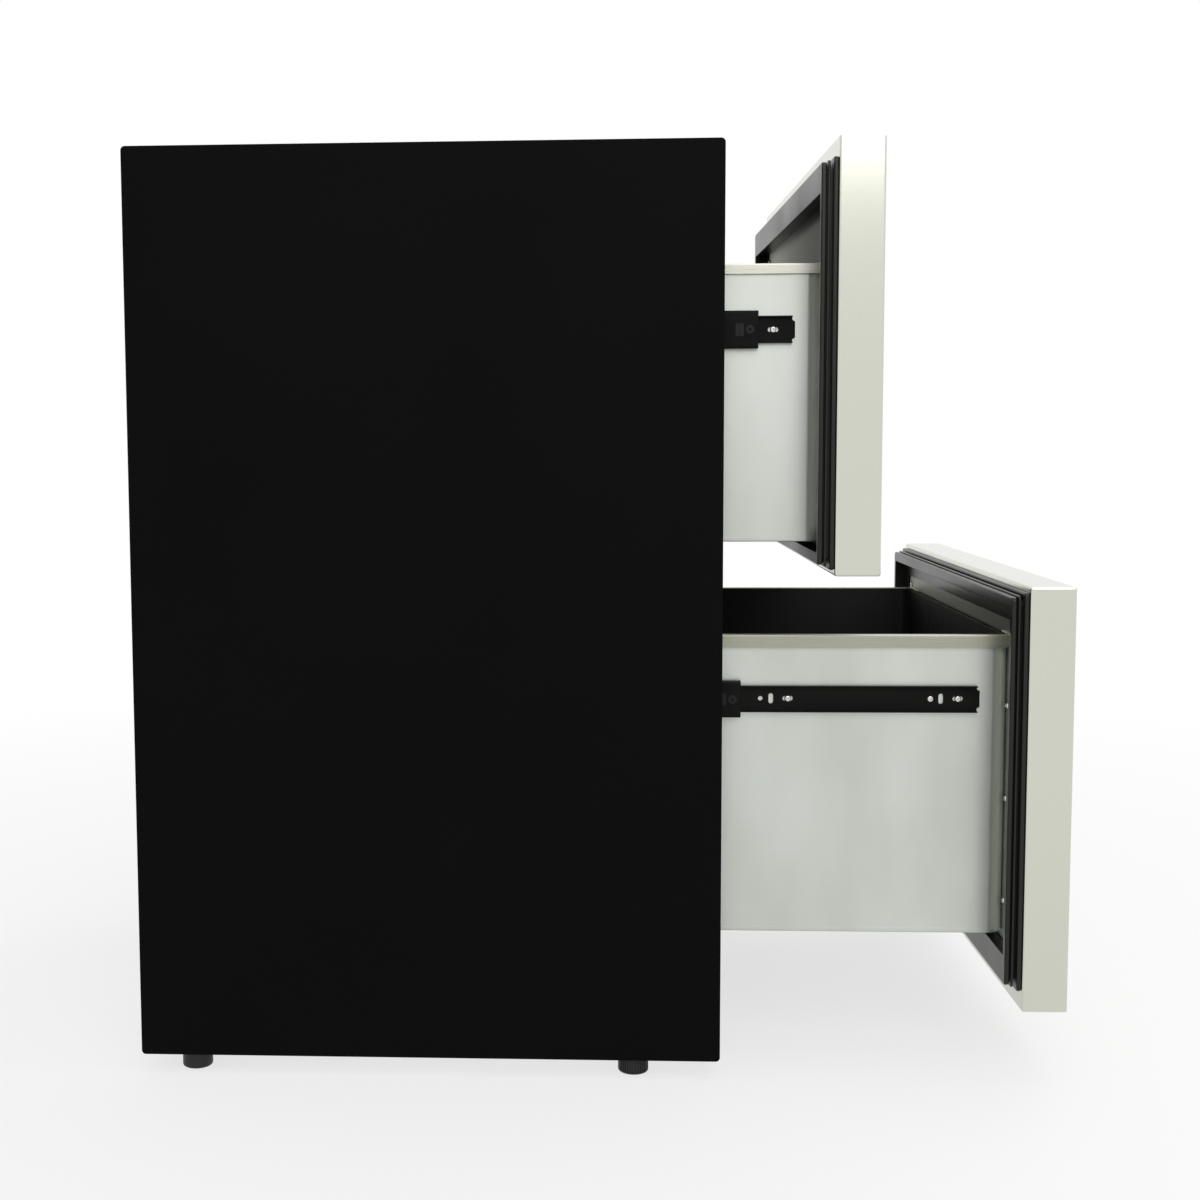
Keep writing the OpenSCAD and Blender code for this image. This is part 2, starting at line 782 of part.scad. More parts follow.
module condenser_coil() {
    color([0.12, 0.12, 0.12]) at_cabinet()
        finned_coil([condenser_right - condenser_length, condenser_front, pan_top],
            [condenser_right, condenser_rear, pan_top + condenser_height], 8);
}

// Shallow tray round the condenser's face, its round opening and the motor
// carried by two arms
module condenser_fan_shroud() {
    opening = condenser_fan_diameter / 2 + 5;
    half = condenser_length / 2 - 4;
    arm = 4;
    arm_half = 8;
    motor_gap = 4;
    motor_length = 22;
    motor_rear = shroud_front - condenser_fan_gap - condenser_fan_depth - motor_gap;
    motor_front = motor_rear - motor_length;
    shaft_end = shroud_front - condenser_fan_gap + 1;
    motor_radius = 26;
    color([0.25, 0.25, 0.26]) at_cabinet() {
        difference() {
            slab([condenser_x - half, shroud_front, pan_top],
                [condenser_x + half, condenser_front, pan_top + condenser_height]);
            slab([condenser_x - half + shroud_sheet, shroud_front + shroud_sheet, pan_top + shroud_sheet],
                [condenser_x + half - shroud_sheet, condenser_front + eps,
                    pan_top + condenser_height - shroud_sheet]);
            rod_y(condenser_x, condenser_fan_z, shroud_front - eps, shroud_front + shroud_sheet + eps,
                opening);
        }
        rod_y(condenser_x, condenser_fan_z, motor_front, motor_rear, motor_radius);
        rod_y(condenser_x, condenser_fan_z, motor_rear, shaft_end, fan_shaft_radius);
        translate([condenser_x, 0, condenser_fan_z]) both_sides() {
            slab([-opening - 2 * arm, motor_front + arm, -arm_half],
                [-opening - arm, shroud_front, arm_half]);
            slab([-opening - arm, motor_front + arm, -arm_half],
                [arm - motor_radius, motor_front + arm + shroud_sheet, arm_half]);
        }
    }
}

module condenser_fan() {
    front = shroud_front - condenser_fan_gap - condenser_fan_depth;
    color([0.1, 0.1, 0.1]) at_cabinet()
        axial_fan(condenser_x, condenser_fan_z, front, condenser_fan_diameter / 2,
            condenser_fan_depth);
}

// Open tray that catches the defrost water, on the pan ahead of the compartment
module drip_tray() {
    half = 150;
    rear_gap = 12;
    rear = machine_front - rear_gap;
    depth = 110;
    height = 24;
    wall = 1.5;
    color([0.15, 0.15, 0.15]) at_cabinet() difference() {
        slab([-half, rear - depth, pan_top], [half, rear, pan_top + height]);
        slab([-half + wall, rear - depth + wall, pan_top + wall],
            [half - wall, rear - wall, pan_top + height + eps]);
    }
}

// Discharge line from the compressor to the condenser, with the filter drier
line_radius = 3;
line_z = compressor_bottom + compressor_height - stub_drop;
line_x = compressor_x + compressor_diameter / 2 + stub_length;
line_end_x = condenser_right - condenser_length - coil_bend;
line_end_y = (condenser_front + condenser_rear) / 2;
condenser_tubes = floor(condenser_height / coil_tube_pitch);
line_end_z = pan_top + (condenser_tubes - 0.5) / condenser_tubes * condenser_height;

module line_run(from, to) {
    step = to - from;
    length = norm(step);
    translate(from) rotate([0, acos(step[2] / length), atan2(step[1], step[0])])
        cylinder(h = length, r = line_radius, $fn = 24);
    translate(to) sphere(r = line_radius, $fn = 24);
}

module refrigerant_line() {
    drop = 70;
    lead = 14;
    drier_radius = 9;
    drier_length = 48;
    drier_gap = 14;
    start = [line_x, machine_middle, line_z];
    turn = [line_x + lead, machine_middle, line_z];
    low = [line_x + lead, machine_middle, line_z - drop];
    rear = [line_x + lead, line_end_y, line_z - drop];
    high = [line_x + lead, line_end_y, line_end_z];
    end = [line_end_x - line_radius, line_end_y, line_end_z];
    color([0.72, 0.45, 0.3]) at_cabinet() {
        line_run(start, turn);
        line_run(turn, low);
        line_run(low, rear);
        line_run(rear, high);
        line_run(high, end);
        translate([low[0], low[1], low[2] + drier_gap]) cylinder(h = drier_length, r = drier_radius);
    }
}

// Removable louvred cover, screwed inside the side panels' rear flanges
module machine_cover() {
    slot_rows = 8;
    slot_columns = 7;
    slot_width = 50;
    slot_height = 6;
    column_pitch = 66;
    row_pitch = 20;
    first_row = foot_height + 92;
    color(galvanised) at_cabinet() difference() {
        intersection() {
            wrapper_block(half_width - panel_sheet - fit_gap, panel_sheet);
            slab([-half_width, rear_sheet_y, 0],
                [half_width, rear_sheet_y + panel_sheet, machine_top - fit_gap]);
        }
        rod_y(gland_x, gland_z, rear_sheet_y - eps, cabinet_depth, gland_radius + fit_gap);
        both_sides() for (z = cover_screw_z)
            rod_y(-cover_screw_x, z, rear_sheet_y - eps, cabinet_depth, screw_shank + fit_gap);
        for (row = [0 : slot_rows - 1])
            for (column = [0 : slot_columns - 1])
                translate([(column - (slot_columns - 1) / 2) * column_pitch, rear_sheet_y,
                    first_row + row * row_pitch])
                    cube([slot_width, 4 * panel_sheet, slot_height], center = true);
    }
}

// Bushing that the mains lead comes out of
module cord_gland() {
    color(plastic_black) at_cabinet() difference() {
        union() {
            rod_y(gland_x, gland_z, cabinet_depth - gland_length, cabinet_depth, gland_radius);
            rod_y(gland_x, gland_z, cabinet_depth - gland_length, rear_sheet_y - fit_gap,
                gland_radius + gland_collar);
        }
        rod_y(gland_x, gland_z, cabinet_depth - gland_length - eps, cabinet_depth + eps, gland_bore);
    }
}

// Flush screws of the machine cover, seated in the side panels' flanges
module cabinet_screws() {
    shank = 7;
    color(zinc) at_cabinet() both_sides() for (z = cover_screw_z) {
        rod_y(-cover_screw_x, z, cabinet_depth - panel_sheet, cabinet_depth, cover_screw_radius);
        rod_y(-cover_screw_x, z, cabinet_depth - panel_sheet - shank, cabinet_depth - panel_sheet,
            screw_shank);
    }
}

// ---- feet ----

// Round foot, narrower at its sole, on a threaded stem
module foot_at(x, y) {
    radius = foot_diameter / 2;
    sole_radius = radius - 2.5;
    top = foot_height - foot_gap;
    sole = 3;
    neck = 2;
    color(plastic_black) at_cabinet() translate([x, y, 0]) {
        rotate_extrude()
            polygon([[0, 0], [sole_radius, 0], [radius, sole], [radius, top - neck],
                [radius - neck, top], [0, top]]);
        translate([0, 0, top]) cylinder(h = stem_top - top, r = stem_diameter / 2);
    }
}

module front_left_foot() { foot_at(-foot_x, foot_y[0]); }
module front_right_foot() { foot_at(foot_x, foot_y[0]); }
module rear_left_foot() { foot_at(-foot_x, foot_y[1]); }
module rear_right_foot() { foot_at(foot_x, foot_y[1]); }

// ---- slides ----

// Bar of the given section, from s inwards of the left cavity wall and z
// from the slide's axis, at both the top and the bottom of the member
module slide_bar(which, s_low, s_high, z_low, z_high) {
    for (sign = [-1, 1])
        slab([s_low - cavity_half, slide_front, slide_z[which] + min(sign * z_low, sign * z_high)],
            [s_high - cavity_half, slide_front + slide_length,
                slide_z[which] + max(sign * z_low, sign * z_high)]);
}

module slide_web(which, s_low, s_high, half_height) {
    slab([s_low - cavity_half, slide_front, slide_z[which] - half_height],
        [s_high - cavity_half, slide_front + slide_length, slide_z[which] + half_height]);
}

// Channel fixed to the cavity wall, its lips turned over the outer balls
module outer_members(which) {
    half = outer_height / 2;
    color(steel_black) at_cabinet() both_sides() {
        slide_web(which, 0, slide_sheet, half);
        slide_bar(which, 0, outer_reach, half - slide_sheet, half);
        slide_bar(which, outer_reach - slide_sheet, outer_reach, half - slide_sheet - outer_lip, half);
    }
}

module middle_members(which) {
    half = middle_height / 2;
    color(steel_black) at_middle(which) both_sides() {
        slide_web(which, middle_start, middle_start + slide_sheet, half);
        slide_bar(which, middle_start, middle_end, half - slide_sheet, half);
        slide_bar(which, middle_end - middle_lip, middle_end, half - slide_sheet - middle_lip, half);
    }
}

// Slot cut through a drawer member, long along Y or along Z
module member_slot(which, y, along_y) {
    reach = (slot_length - 2 * slide_hole_radius) / 2;
    for (sign = [-1, 1])
        rod_x(-cavity_half + inner_start, -box_half + eps, y + (along_y ? sign * reach : 0),
            slide_z[which] + (along_y ? 0 : sign * reach), slide_hole_radius);
    slab([-cavity_half + inner_start, y - (along_y ? reach : slide_hole_radius),
            slide_z[which] - (along_y ? slide_hole_radius : reach)],
        [-box_half + eps, y + (along_y ? reach : slide_hole_radius),
            slide_z[which] + (along_y ? slide_hole_radius : reach)]);
}

// Channel screwed to the box, open towards the cabinet
module inner_members(which) {
    half = inner_height / 2;
    color(steel_black) at_drawer(which) both_sides() difference() {
        translate([0, -inner_lead, 0]) {
            slide_web(which, slide_thickness - slide_sheet, slide_thickness, half);
            slide_bar(which, inner_start, slide_thickness, half - slide_sheet, half);
        }
        for (y = screw_slots)
            member_slot(which, y, true);
        for (k = [0 : len(screw_slots) - 1]) {
            member_slot(which, screw_slots[k] + toward_middle[k] * cross_slot_step, false);
            rod_x(-cavity_half + inner_start, -box_half + eps,
                screw_slots[k] + toward_middle[k] * round_hole_step, slide_z[which],
                slide_hole_radius);
        }
    }
}

// Strip with two rows of balls, at half the travel of the stage that it serves
module cage(which, s_low, s_high, ball_s, ball_z, out) {
    half = ball_z + cage_sheet / 2;
    end_gap = 8;
    pitch = (cage_length - 2 * end_gap) / (ball_count - 1);
    color([0.45, 0.46, 0.47]) translate([-cavity_half, cage_front - out, slide_z[which]]) {
        slab([s_low, 0, -half], [s_low + cage_sheet, cage_length, half]);
        for (sign = [-1, 1]) {
            translate([s_low, 0, sign * ball_z - cage_sheet / 2])
                cube([s_high - s_low, cage_length, cage_sheet]);
            for (k = [0 : ball_count - 1])
                translate([ball_s, end_gap + k * pitch, sign * ball_z])
                    sphere(r = ball_radius, $fn = 24);
        }
    }
}

module outer_cages(which) {
    at_cabinet() both_sides()
        cage(which, outer_cage_start, outer_cage_end, outer_ball_place, outer_ball_z,
            middle_out[which] / 2);
}

module inner_cages(which) {
    at_middle(which) both_sides()
        cage(which, inner_cage_start, inner_cage_end, inner_ball_place, inner_ball_z,
            drawer_out[which] / 2);
}

// ---- drawer fronts ----

// Corners of the face of the inner panel that shows inside the gasket
function panel_low(which) = [-half_width + gasket_side_inset + gasket_side_width + retainer_side,
    gasket_bottom[which] + gasket_bottom_width[which] + retainer_bottom[which]];
function panel_high(which) = [-panel_low(which)[0],
    gasket_bottom[which] + gasket_height - gasket_top_width[which] - retainer_top[which]];

// Folded stainless tray, its rear flanges turned in under the gasket
module front_skin(which) {
    low = panel_low(which) - [panel_tuck + fit_gap, panel_tuck + fit_gap];
    high = panel_high(which) + [panel_tuck + fit_gap, panel_tuck + fit_gap];
    color(stainless) at_drawer(which) difference() {
        slab([-half_width, -gasket_depth - front_thickness, front_z[which]],
            [half_width, -gasket_depth, front_z[which] + front_height]);
        slab([-half_width + skin_sheet, -gasket_depth - front_thickness + skin_sheet,
                front_z[which] + skin_sheet],
            [half_width - skin_sheet, -gasket_depth - skin_sheet,
                front_z[which] + front_height - skin_sheet]);
        slab([low[0], -gasket_depth - 2 * skin_sheet, low[1]], [high[0], eps - gasket_depth, high[1]]);
    }
}

module front_core(which) {
    color(foam_cream) at_drawer(which)
        slab([-half_width + skin_sheet, -gasket_depth - front_thickness + skin_sheet,
                front_z[which] + skin_sheet],
            [half_width - skin_sheet, -gasket_depth - skin_sheet,
                front_z[which] + front_height - skin_sheet]);
}

module inner_panel(which) {
    color([0.5, 0.51, 0.48]) at_drawer(which)
        upright_plate(panel_low(which) - [panel_tuck, panel_tuck],
            panel_high(which) + [panel_tuck, panel_tuck], 3, -gasket_depth - skin_sheet, skin_sheet);
}

// Opening inside the gasket's thick part
module gasket_opening(which, y_low, y_high) {
    side = half_width - gasket_side_inset - gasket_side_width;
    slab([-side, y_low - eps, gasket_bottom[which] + gasket_bottom_width[which]],
        [side, y_high + eps, gasket_bottom[which] + gasket_height - gasket_top_width[which]]);
}

// One layer of the gasket's frame
module gasket_ring(which, inset, y_low, y_high) {
    low = [-half_width + gasket_side_inset, gasket_bottom[which]];
    high = [half_width - gasket_side_inset, gasket_bottom[which] + gasket_height];
    edge = [inset, inset];
    difference() {
        upright_plate(low + edge, high - edge, gasket_corner, y_low, y_high - y_low);
        gasket_opening(which, y_low, y_high);
    }
}

// Frame of four layers on its base, with a flat flange that retains the panel
module gasket(which) {
    base = -gasket_depth;
    waist = base + gasket_base;
    ridge = waist + gasket_waist;
    slit = ridge + gasket_ridge;
    lobe = slit + gasket_slit;
    low = panel_low(which);
    high = panel_high(which);
    side = half_width - gasket_side_inset - gasket_side_width;
    color(plastic_black) at_drawer(which) {
        gasket_ring(which, 0, base, waist);
        gasket_ring(which, gasket_ridge_step + gasket_groove, waist, ridge);
        gasket_ring(which, gasket_ridge_step, ridge, slit);
        gasket_ring(which, gasket_lobe_step + gasket_groove, slit, lobe);
        gasket_ring(which, gasket_lobe_step, lobe, 0);
        difference() {
            slab([-side, base, low[1] - retainer_bottom[which]],
                [side, base + retainer_sheet, high[1] + retainer_top[which]]);
            slab([low[0], base - eps, low[1]], [high[0], base + retainer_sheet + eps, high[1]]);
        }
    }
}

// ---- drawer boxes ----

// Body of a box: a deep part down to the floor and a longer part above the step
module box_body(which, inset, floor, top) {
    radius = box_corner - inset;
    half = box_half - inset;
    translate([0, 0, box_z[which] + floor]) linear_extrude(height = top - box_z[which] - floor)
        round_outline([-half, box_front + inset], [half, step_rear[which] - inset], radius);
    translate([0, 0, step_z[which] + floor]) linear_extrude(height = top - step_z[which] - floor)
        round_outline([-half, box_front + inset], [half, box_rear - inset], radius);
}

module screw_holes(which) {
    both_sides() for (y = screw_slots)
        rod_x(-box_half - eps, -box_half + 2 * box_sheet, y, slide_z[which], screw_shank + 0.1);
}

module box(which) {
    top = rim_z[which] - box_sheet;
    color(box_grey) at_drawer(which) difference() {
        box_body(which, 0, 0, top);
        box_body(which, box_sheet, box_sheet, top + eps);
        screw_holes(which);
    }
}

module box_tub(which) {
    top = rim_z[which] - box_sheet;
    inset = box_sheet + tub_clearance;
    color(plastic_black) at_drawer(which) difference() {
        box_body(which, inset, box_sheet, top);
        box_body(which, inset + tub_wall, box_sheet + tub_wall, top + eps);
    }
}

// Angle folded over the rim at the sides and rear, open at the front
module box_rail(which) {
    top = rim_z[which];
    bottom = top - rail_height[which];
    half = box_half + rail_proud;
    radius = box_corner + rail_proud;
    rear = box_rear + rail_proud;
    open = box_front - radius - rail_width;
    color(stainless) at_drawer(which) difference() {
        translate([0, 0, bottom]) linear_extrude(height = rail_height[which])
            round_outline([-half, open], [half, rear], radius);
        translate([0, 0, bottom - eps]) linear_extrude(height = rail_height[which] + eps - box_sheet)
            round_outline([-half + box_sheet, open], [half - box_sheet, rear - box_sheet],
                radius - box_sheet);
        translate([0, 0, bottom - eps]) linear_extrude(height = rail_height[which] + 2 * eps)
            round_outline([-half + rail_width, open], [half - rail_width, rear - rail_width],
                radius - rail_width);
        slab([-half - eps, open - eps, bottom - eps],
            [half + eps, box_front + rail_setback, top + eps]);
    }
}

// Strips between the box's front wall and the inner panel
module brackets(which) {
    high = box_half + bracket_reach;
    color(box_grey) at_drawer(which) both_sides() difference() {
        slab([-high, -gasket_depth, panel_low(which)[1] + bracket_gap],
            [-high + bracket_width, box_front, rim_z[which]]);
        for (up = bracket_screw_up[which])
            rod_y(-bracket_screw_x, front_z[which] + up, -gasket_depth - eps, box_front + eps,
                screw_shank + 0.1);
    }
}

module drawer_screws(which) {
    web = -box_half - slide_sheet;
    color(zinc) at_drawer(which) both_sides() {
        for (up = bracket_screw_up[which]) {
            rod_y(-bracket_screw_x, front_z[which] + up, box_front, box_front + bracket_head_height,
                bracket_head_radius);
            rod_y(-bracket_screw_x, front_z[which] + up, -gasket_depth, box_front, screw_shank);
        }
        for (y = screw_slots) {
            rod_x(web - slide_head_height, web, y, slide_z[which], slide_head_radius);
            rod_x(web, -box_half + box_sheet, y, slide_z[which], screw_shank);
        }
    }
}

// ---- one module per node of the slides and drawers ----

module upper_outer_members() { outer_members(UPPER); }
module lower_outer_members() { outer_members(LOWER); }
module upper_outer_cages() { outer_cages(UPPER); }
module lower_outer_cages() { outer_cages(LOWER); }
module upper_middle_members() { middle_members(UPPER); }
module lower_middle_members() { middle_members(LOWER); }
module upper_inner_cages() { inner_cages(UPPER); }
module lower_inner_cages() { inner_cages(LOWER); }
module upper_front_skin() { front_skin(UPPER); }
module lower_front_skin() { front_skin(LOWER); }
module upper_front_core() { front_core(UPPER); }
module lower_front_core() { front_core(LOWER); }
module upper_inner_panel() { inner_panel(UPPER); }
module lower_inner_panel() { inner_panel(LOWER); }
module upper_gasket() { gasket(UPPER); }
module lower_gasket() { gasket(LOWER); }
module upper_box() { box(UPPER); }
module lower_box() { box(LOWER); }
module upper_box_rail() { box_rail(UPPER); }
module lower_box_rail() { box_rail(LOWER); }
module upper_tub() { box_tub(UPPER); }
module lower_tub() { box_tub(LOWER); }
module upper_brackets() { brackets(UPPER); }
module lower_brackets() { brackets(LOWER); }
module upper_inner_members() { inner_members(UPPER); }
module lower_inner_members() { inner_members(LOWER); }
module upper_drawer_screws() { drawer_screws(UPPER); }
module lower_drawer_screws() { drawer_screws(LOWER); }

left_side_panel();
right_side_panel();
top_panel();
rear_panel();
base_pan();
lower_rail();
insulation_foam();
inner_liner();
center_mullion();
kick_grille();
evaporator_cover();
evaporator_coil();
evaporator_fan_motor();
evaporator_fan();
control_housing();
lamp_cover();
thermostat_knob();
compressor();
compressor_grommets();
condenser_coil();
condenser_fan_shroud();
condenser_fan();
drip_tray();
refrigerant_line();
machine_cover();
cord_gland();
cabinet_screws();
front_left_foot();
front_right_foot();
rear_left_foot();
rear_right_foot();
upper_outer_members();
lower_outer_members();
upper_outer_cages();
lower_outer_cages();
upper_middle_members();
lower_middle_members();
upper_inner_cages();
lower_inner_cages();
upper_front_skin();
lower_front_skin();
upper_front_core();
lower_front_core();
upper_inner_panel();
lower_inner_panel();
upper_gasket();
lower_gasket();
upper_box();
lower_box();
upper_box_rail();
lower_box_rail();
upper_tub();
lower_tub();
upper_brackets();
lower_brackets();
upper_inner_members();
lower_inner_members();
upper_drawer_screws();
lower_drawer_screws();
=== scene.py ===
# %% [markdown]
# # An undercounter refrigerator with two drawers
# The solids of the appliance come packed from its CAD source and stay where
# they are. This lesson gives them their finishes, replaces the plainest of
# them by finer pieces, and sets up the light and the camera.

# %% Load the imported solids
import bmesh
import bpy
import json
from math import cos, pi, radians, sin
from mathutils import Matrix, Vector


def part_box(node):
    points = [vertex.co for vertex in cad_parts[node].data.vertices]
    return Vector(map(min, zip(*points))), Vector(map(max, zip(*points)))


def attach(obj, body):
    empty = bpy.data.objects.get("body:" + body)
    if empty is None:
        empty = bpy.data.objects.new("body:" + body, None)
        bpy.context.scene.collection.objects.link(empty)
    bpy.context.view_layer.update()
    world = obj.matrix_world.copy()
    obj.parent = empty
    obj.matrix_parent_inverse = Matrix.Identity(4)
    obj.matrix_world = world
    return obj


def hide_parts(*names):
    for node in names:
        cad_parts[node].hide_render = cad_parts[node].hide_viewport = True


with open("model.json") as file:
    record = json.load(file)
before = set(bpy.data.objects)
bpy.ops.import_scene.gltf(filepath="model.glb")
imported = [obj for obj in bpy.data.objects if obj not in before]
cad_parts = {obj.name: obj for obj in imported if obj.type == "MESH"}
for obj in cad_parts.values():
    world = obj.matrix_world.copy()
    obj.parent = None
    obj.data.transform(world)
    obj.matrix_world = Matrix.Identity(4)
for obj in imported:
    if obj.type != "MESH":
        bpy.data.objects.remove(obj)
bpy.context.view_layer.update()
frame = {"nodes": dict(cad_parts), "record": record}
nodes = frame["nodes"]
bpy.ops.object.select_all(action="DESELECT")

# %% [markdown]
# ## The camera
# The picture looks level with the drawers at the left side of the cabinet. A
# camera can be turned by Euler angles, but a view that is measured as a
# heading, a pitch and a small roll is easier to write as three axes: where it
# looks, what is right and what is up. The lens is given by its focal length,
# and a small shift stands for a picture that was cropped off centre.

# %% Camera
heading, pitch, roll = radians(2.9668), radians(5.0039), radians(-0.3119)
ahead = Vector((cos(heading) * cos(pitch), sin(heading) * cos(pitch), -sin(pitch)))
level = Vector((sin(heading), -cos(heading), 0))
upright = level.cross(ahead)
right = level * cos(roll) + upright * sin(roll)
up = upright * cos(roll) - level * sin(roll)
lens = bpy.data.cameras.new("side_camera")
lens.lens = 50.81
lens.sensor_width = 36
lens.shift_x = 0.0903
lens.shift_y = -0.0185
camera = bpy.data.objects.new("side_camera", lens)
bpy.context.scene.collection.objects.link(camera)
camera.matrix_world = Matrix.Translation((-1.86276, 0.01702, 0.61479)) @ Matrix(
    (right, up, -ahead)).transposed().to_4x4()
bpy.context.scene.camera = camera
print("camera looks along", [round(v, 3) for v in ahead])

# %% [markdown]
# ## Floor, background and light
# The appliance stands in an empty white studio. A bright world would do for
# the background alone, but then the black side would shine. Light Path tells
# what a ray is for: rays from the camera, and rays that metal mirrors, meet
# plain white, while the rays that light dull surfaces meet a softer grey, and
# three large area lamps give the rest: from the left, from above and from the
# right, in front. Nodes are added by one helper, which takes for each input
# either a plain value or the output that feeds it.

# %% Helper for nodes
def add_node(web, kind, inputs=None, **settings):
    """Adds a node; an input gets a plain value or is linked to an output."""
    node = web.nodes.new("ShaderNode" + kind)
    for name, value in settings.items():
        setattr(node, name, value)
    for socket, value in (inputs or {}).items():
        if isinstance(value, bpy.types.NodeSocket):
            web.links.new(value, node.inputs[socket])
        else:
            node.inputs[socket].default_value = value
    return node


white = (1, 1, 1, 1)
print("nodes can be added")

# %% World
world = bpy.data.worlds.new("studio")
bpy.context.scene.world = world
world.use_nodes = True
web = world.node_tree
web.nodes.clear()
rays = add_node(web, "LightPath").outputs
mirrored = add_node(web, "Math", {0: rays["Is Glossy Ray"], 1: rays["Is Transmission Ray"]},
                    operation="MAXIMUM")
seen = add_node(web, "Math", {0: rays["Is Camera Ray"], 1: mirrored.outputs[0]},
                operation="MAXIMUM")
ambient = 0.62
strength = add_node(web, "MapRange", {"Value": seen.outputs[0], "To Min": ambient, "To Max": 1.0})
backdrop = add_node(web, "Background", {"Color": white, "Strength": strength.outputs["Result"]})
add_node(web, "OutputWorld", {"Surface": backdrop.outputs[0]})
bpy.context.scene.view_settings.view_transform = "Standard"
print("world nodes:", len(web.nodes))

# %% Lamps
lit_point = Vector((0, -0.1, 0.45))


def softbox(name, place, size, power):
    """A square area lamp that faces the middle of the appliance."""
    lamp = bpy.data.lights.new(name, "AREA")
    lamp.shape = "SQUARE"
    lamp.size = size
    lamp.energy = power
    holder = bpy.data.objects.new(name, lamp)
    bpy.context.scene.collection.objects.link(holder)
    holder.location = place
    holder.rotation_euler = (lit_point - Vector(place)).to_track_quat("-Z", "Y").to_euler()


softbox("left_softbox", (-3.2, -0.5, 2.47), 2.4, 46)
softbox("top_softbox", (0.2, -0.6, 3.6), 2.2, 28)
softbox("right_softbox", (2.6, -2.2, 2.9), 2.0, 26)
print("lamps:", len(bpy.data.lights))

# %% Helpers for a plain finish
def shader_of(made):
    return made.node_tree.nodes["Principled BSDF"]


def grey(value):
    return (value, value, value)


def finish(name, colour, roughness, metallic=0.0, specular=0.5):
    """A Principled material with its plain values on the shader itself."""
    made = bpy.data.materials.new(name)
    made.use_nodes = True
    plain = {"Base Color": (*colour, 1), "Roughness": roughness, "Metallic": metallic,
             "Specular IOR Level": specular}
    for socket, value in plain.items():
        shader_of(made).inputs[socket].default_value = value
    made.diffuse_color = (*colour, 1)
    return made


print("plain finishes can be made")

# %% Floor
bpy.ops.mesh.primitive_plane_add(size=30, location=(0, 0, 0))
floor = bpy.context.object
floor.name = "studio_floor"
paint = finish("floor_paint", grey(0.82), 0.9, specular=0.0)
web = paint.node_tree
rays = add_node(web, "LightPath").outputs
looked_at = add_node(web, "Math", {0: rays["Is Camera Ray"], 1: rays["Is Glossy Ray"]},
                     operation="MAXIMUM")
glow = add_node(web, "Emission", {"Color": white, "Strength": looked_at.outputs[0]})
place = add_node(web, "TexCoord").outputs["Object"]
distance = add_node(web, "VectorMath", {0: place}, operation="LENGTH")
fade = add_node(web, "MapRange", {
    "Value": distance.outputs["Value"], "From Min": 0.7, "From Max": 2.2,
    "To Min": 0.70, "To Max": 1.0})
share = add_node(web, "MixShader", {
    "Fac": fade.outputs["Result"], 1: shader_of(paint).outputs[0], 2: glow.outputs[0]})
web.links.new(share.outputs[0], web.nodes["Material Output"].inputs["Surface"])
floor.data.materials.append(paint)
bpy.ops.object.select_all(action="DESELECT")
print("floor stands at z = 0")

# %% [markdown]
# ## Finishes
# Each finish is one Principled shader with a little of what the real surface
# has: the scratches of brushed steel, the spangle of zinc, the fine pimples of
# powder paint. Image textures would do it too, but noise that is read from
# Object coordinates needs no unwrapping and has the same scale on every piece.
# Such a noise is written as its scale, its detail and, where it runs one way,
# its stretch.

# %% Helpers for patterned finishes
def pattern(made, scale, detail=2.0, stretch=(1, 1, 1), cells=False):
    """Noise, or Voronoi cells, read from Object coordinates in metres."""
    web = made.node_tree
    place = add_node(web, "TexCoord").outputs["Object"]
    aim = add_node(web, "Mapping", {"Scale": stretch, "Vector": place}).outputs["Vector"]
    if cells:
        noise = add_node(web, "TexVoronoi", {"Scale": scale, "Vector": aim})
        return add_node(web, "RGBToBW", {"Color": noise.outputs["Color"]}).outputs["Val"]
    noise = add_node(web, "TexNoise", {"Scale": scale, "Detail": detail, "Vector": aim})
    return noise.outputs["Fac"]


def noise_in(made, value):
    """A pattern's output; where only its numbers are given, it is made first."""
    return pattern(made, *value) if isinstance(value, tuple) else value


def feed(made, value, socket):
    """Links an output to a socket of the material's shader."""
    made.node_tree.links.new(value, shader_of(made).inputs[socket])


def tint(made, value, dark, light, low=0.3, high=0.7):
    """Blends the base colour between two shades by a pattern."""
    ramp = add_node(made.node_tree, "ValToRGB", {"Fac": noise_in(made, value)})
    for number, (position, shade) in enumerate(((low, dark), (high, light))):
        ramp.color_ramp.elements[number].position = position
        ramp.color_ramp.elements[number].color = (*shade, 1)
    feed(made, ramp.outputs["Color"], "Base Color")


def polish(made, value, low, high):
    """Varies the roughness by a pattern."""
    spread = add_node(made.node_tree, "MapRange", {
        "Value": noise_in(made, value), "From Min": 0.3, "From Max": 0.7,
        "To Min": low, "To Max": high})
    feed(made, spread.outputs["Result"], "Roughness")


def relief(made, value, height, strength):
    """Raises the surface by a pattern; height is in metres."""
    bump = add_node(made.node_tree, "Bump", {
        "Height": noise_in(made, value), "Distance": height, "Strength": strength})
    feed(made, bump.outputs["Normal"], "Normal")


print("patterned finishes can be made")

# %% [markdown]
# ### Painted and coated steel
# The cabinet is black powder-coated sheet: almost no colour, a broad dull
# sheen, and fine pimples half a millimetre across. The slides have a thinner
# and smoother black coat that wears to grey where the members rub.

# %% Painted steel
black_paint = finish("black_powder_coat", grey(0.0045), 0.5, specular=0.03)
tint(black_paint, (6.0, 4.0), (0.0043, 0.0043, 0.0044), grey(0.0050))
polish(black_paint, (9.0, 5.0), 0.49, 0.53)
relief(black_paint, (1400.0, 1.0), 0.00004, 0.5)

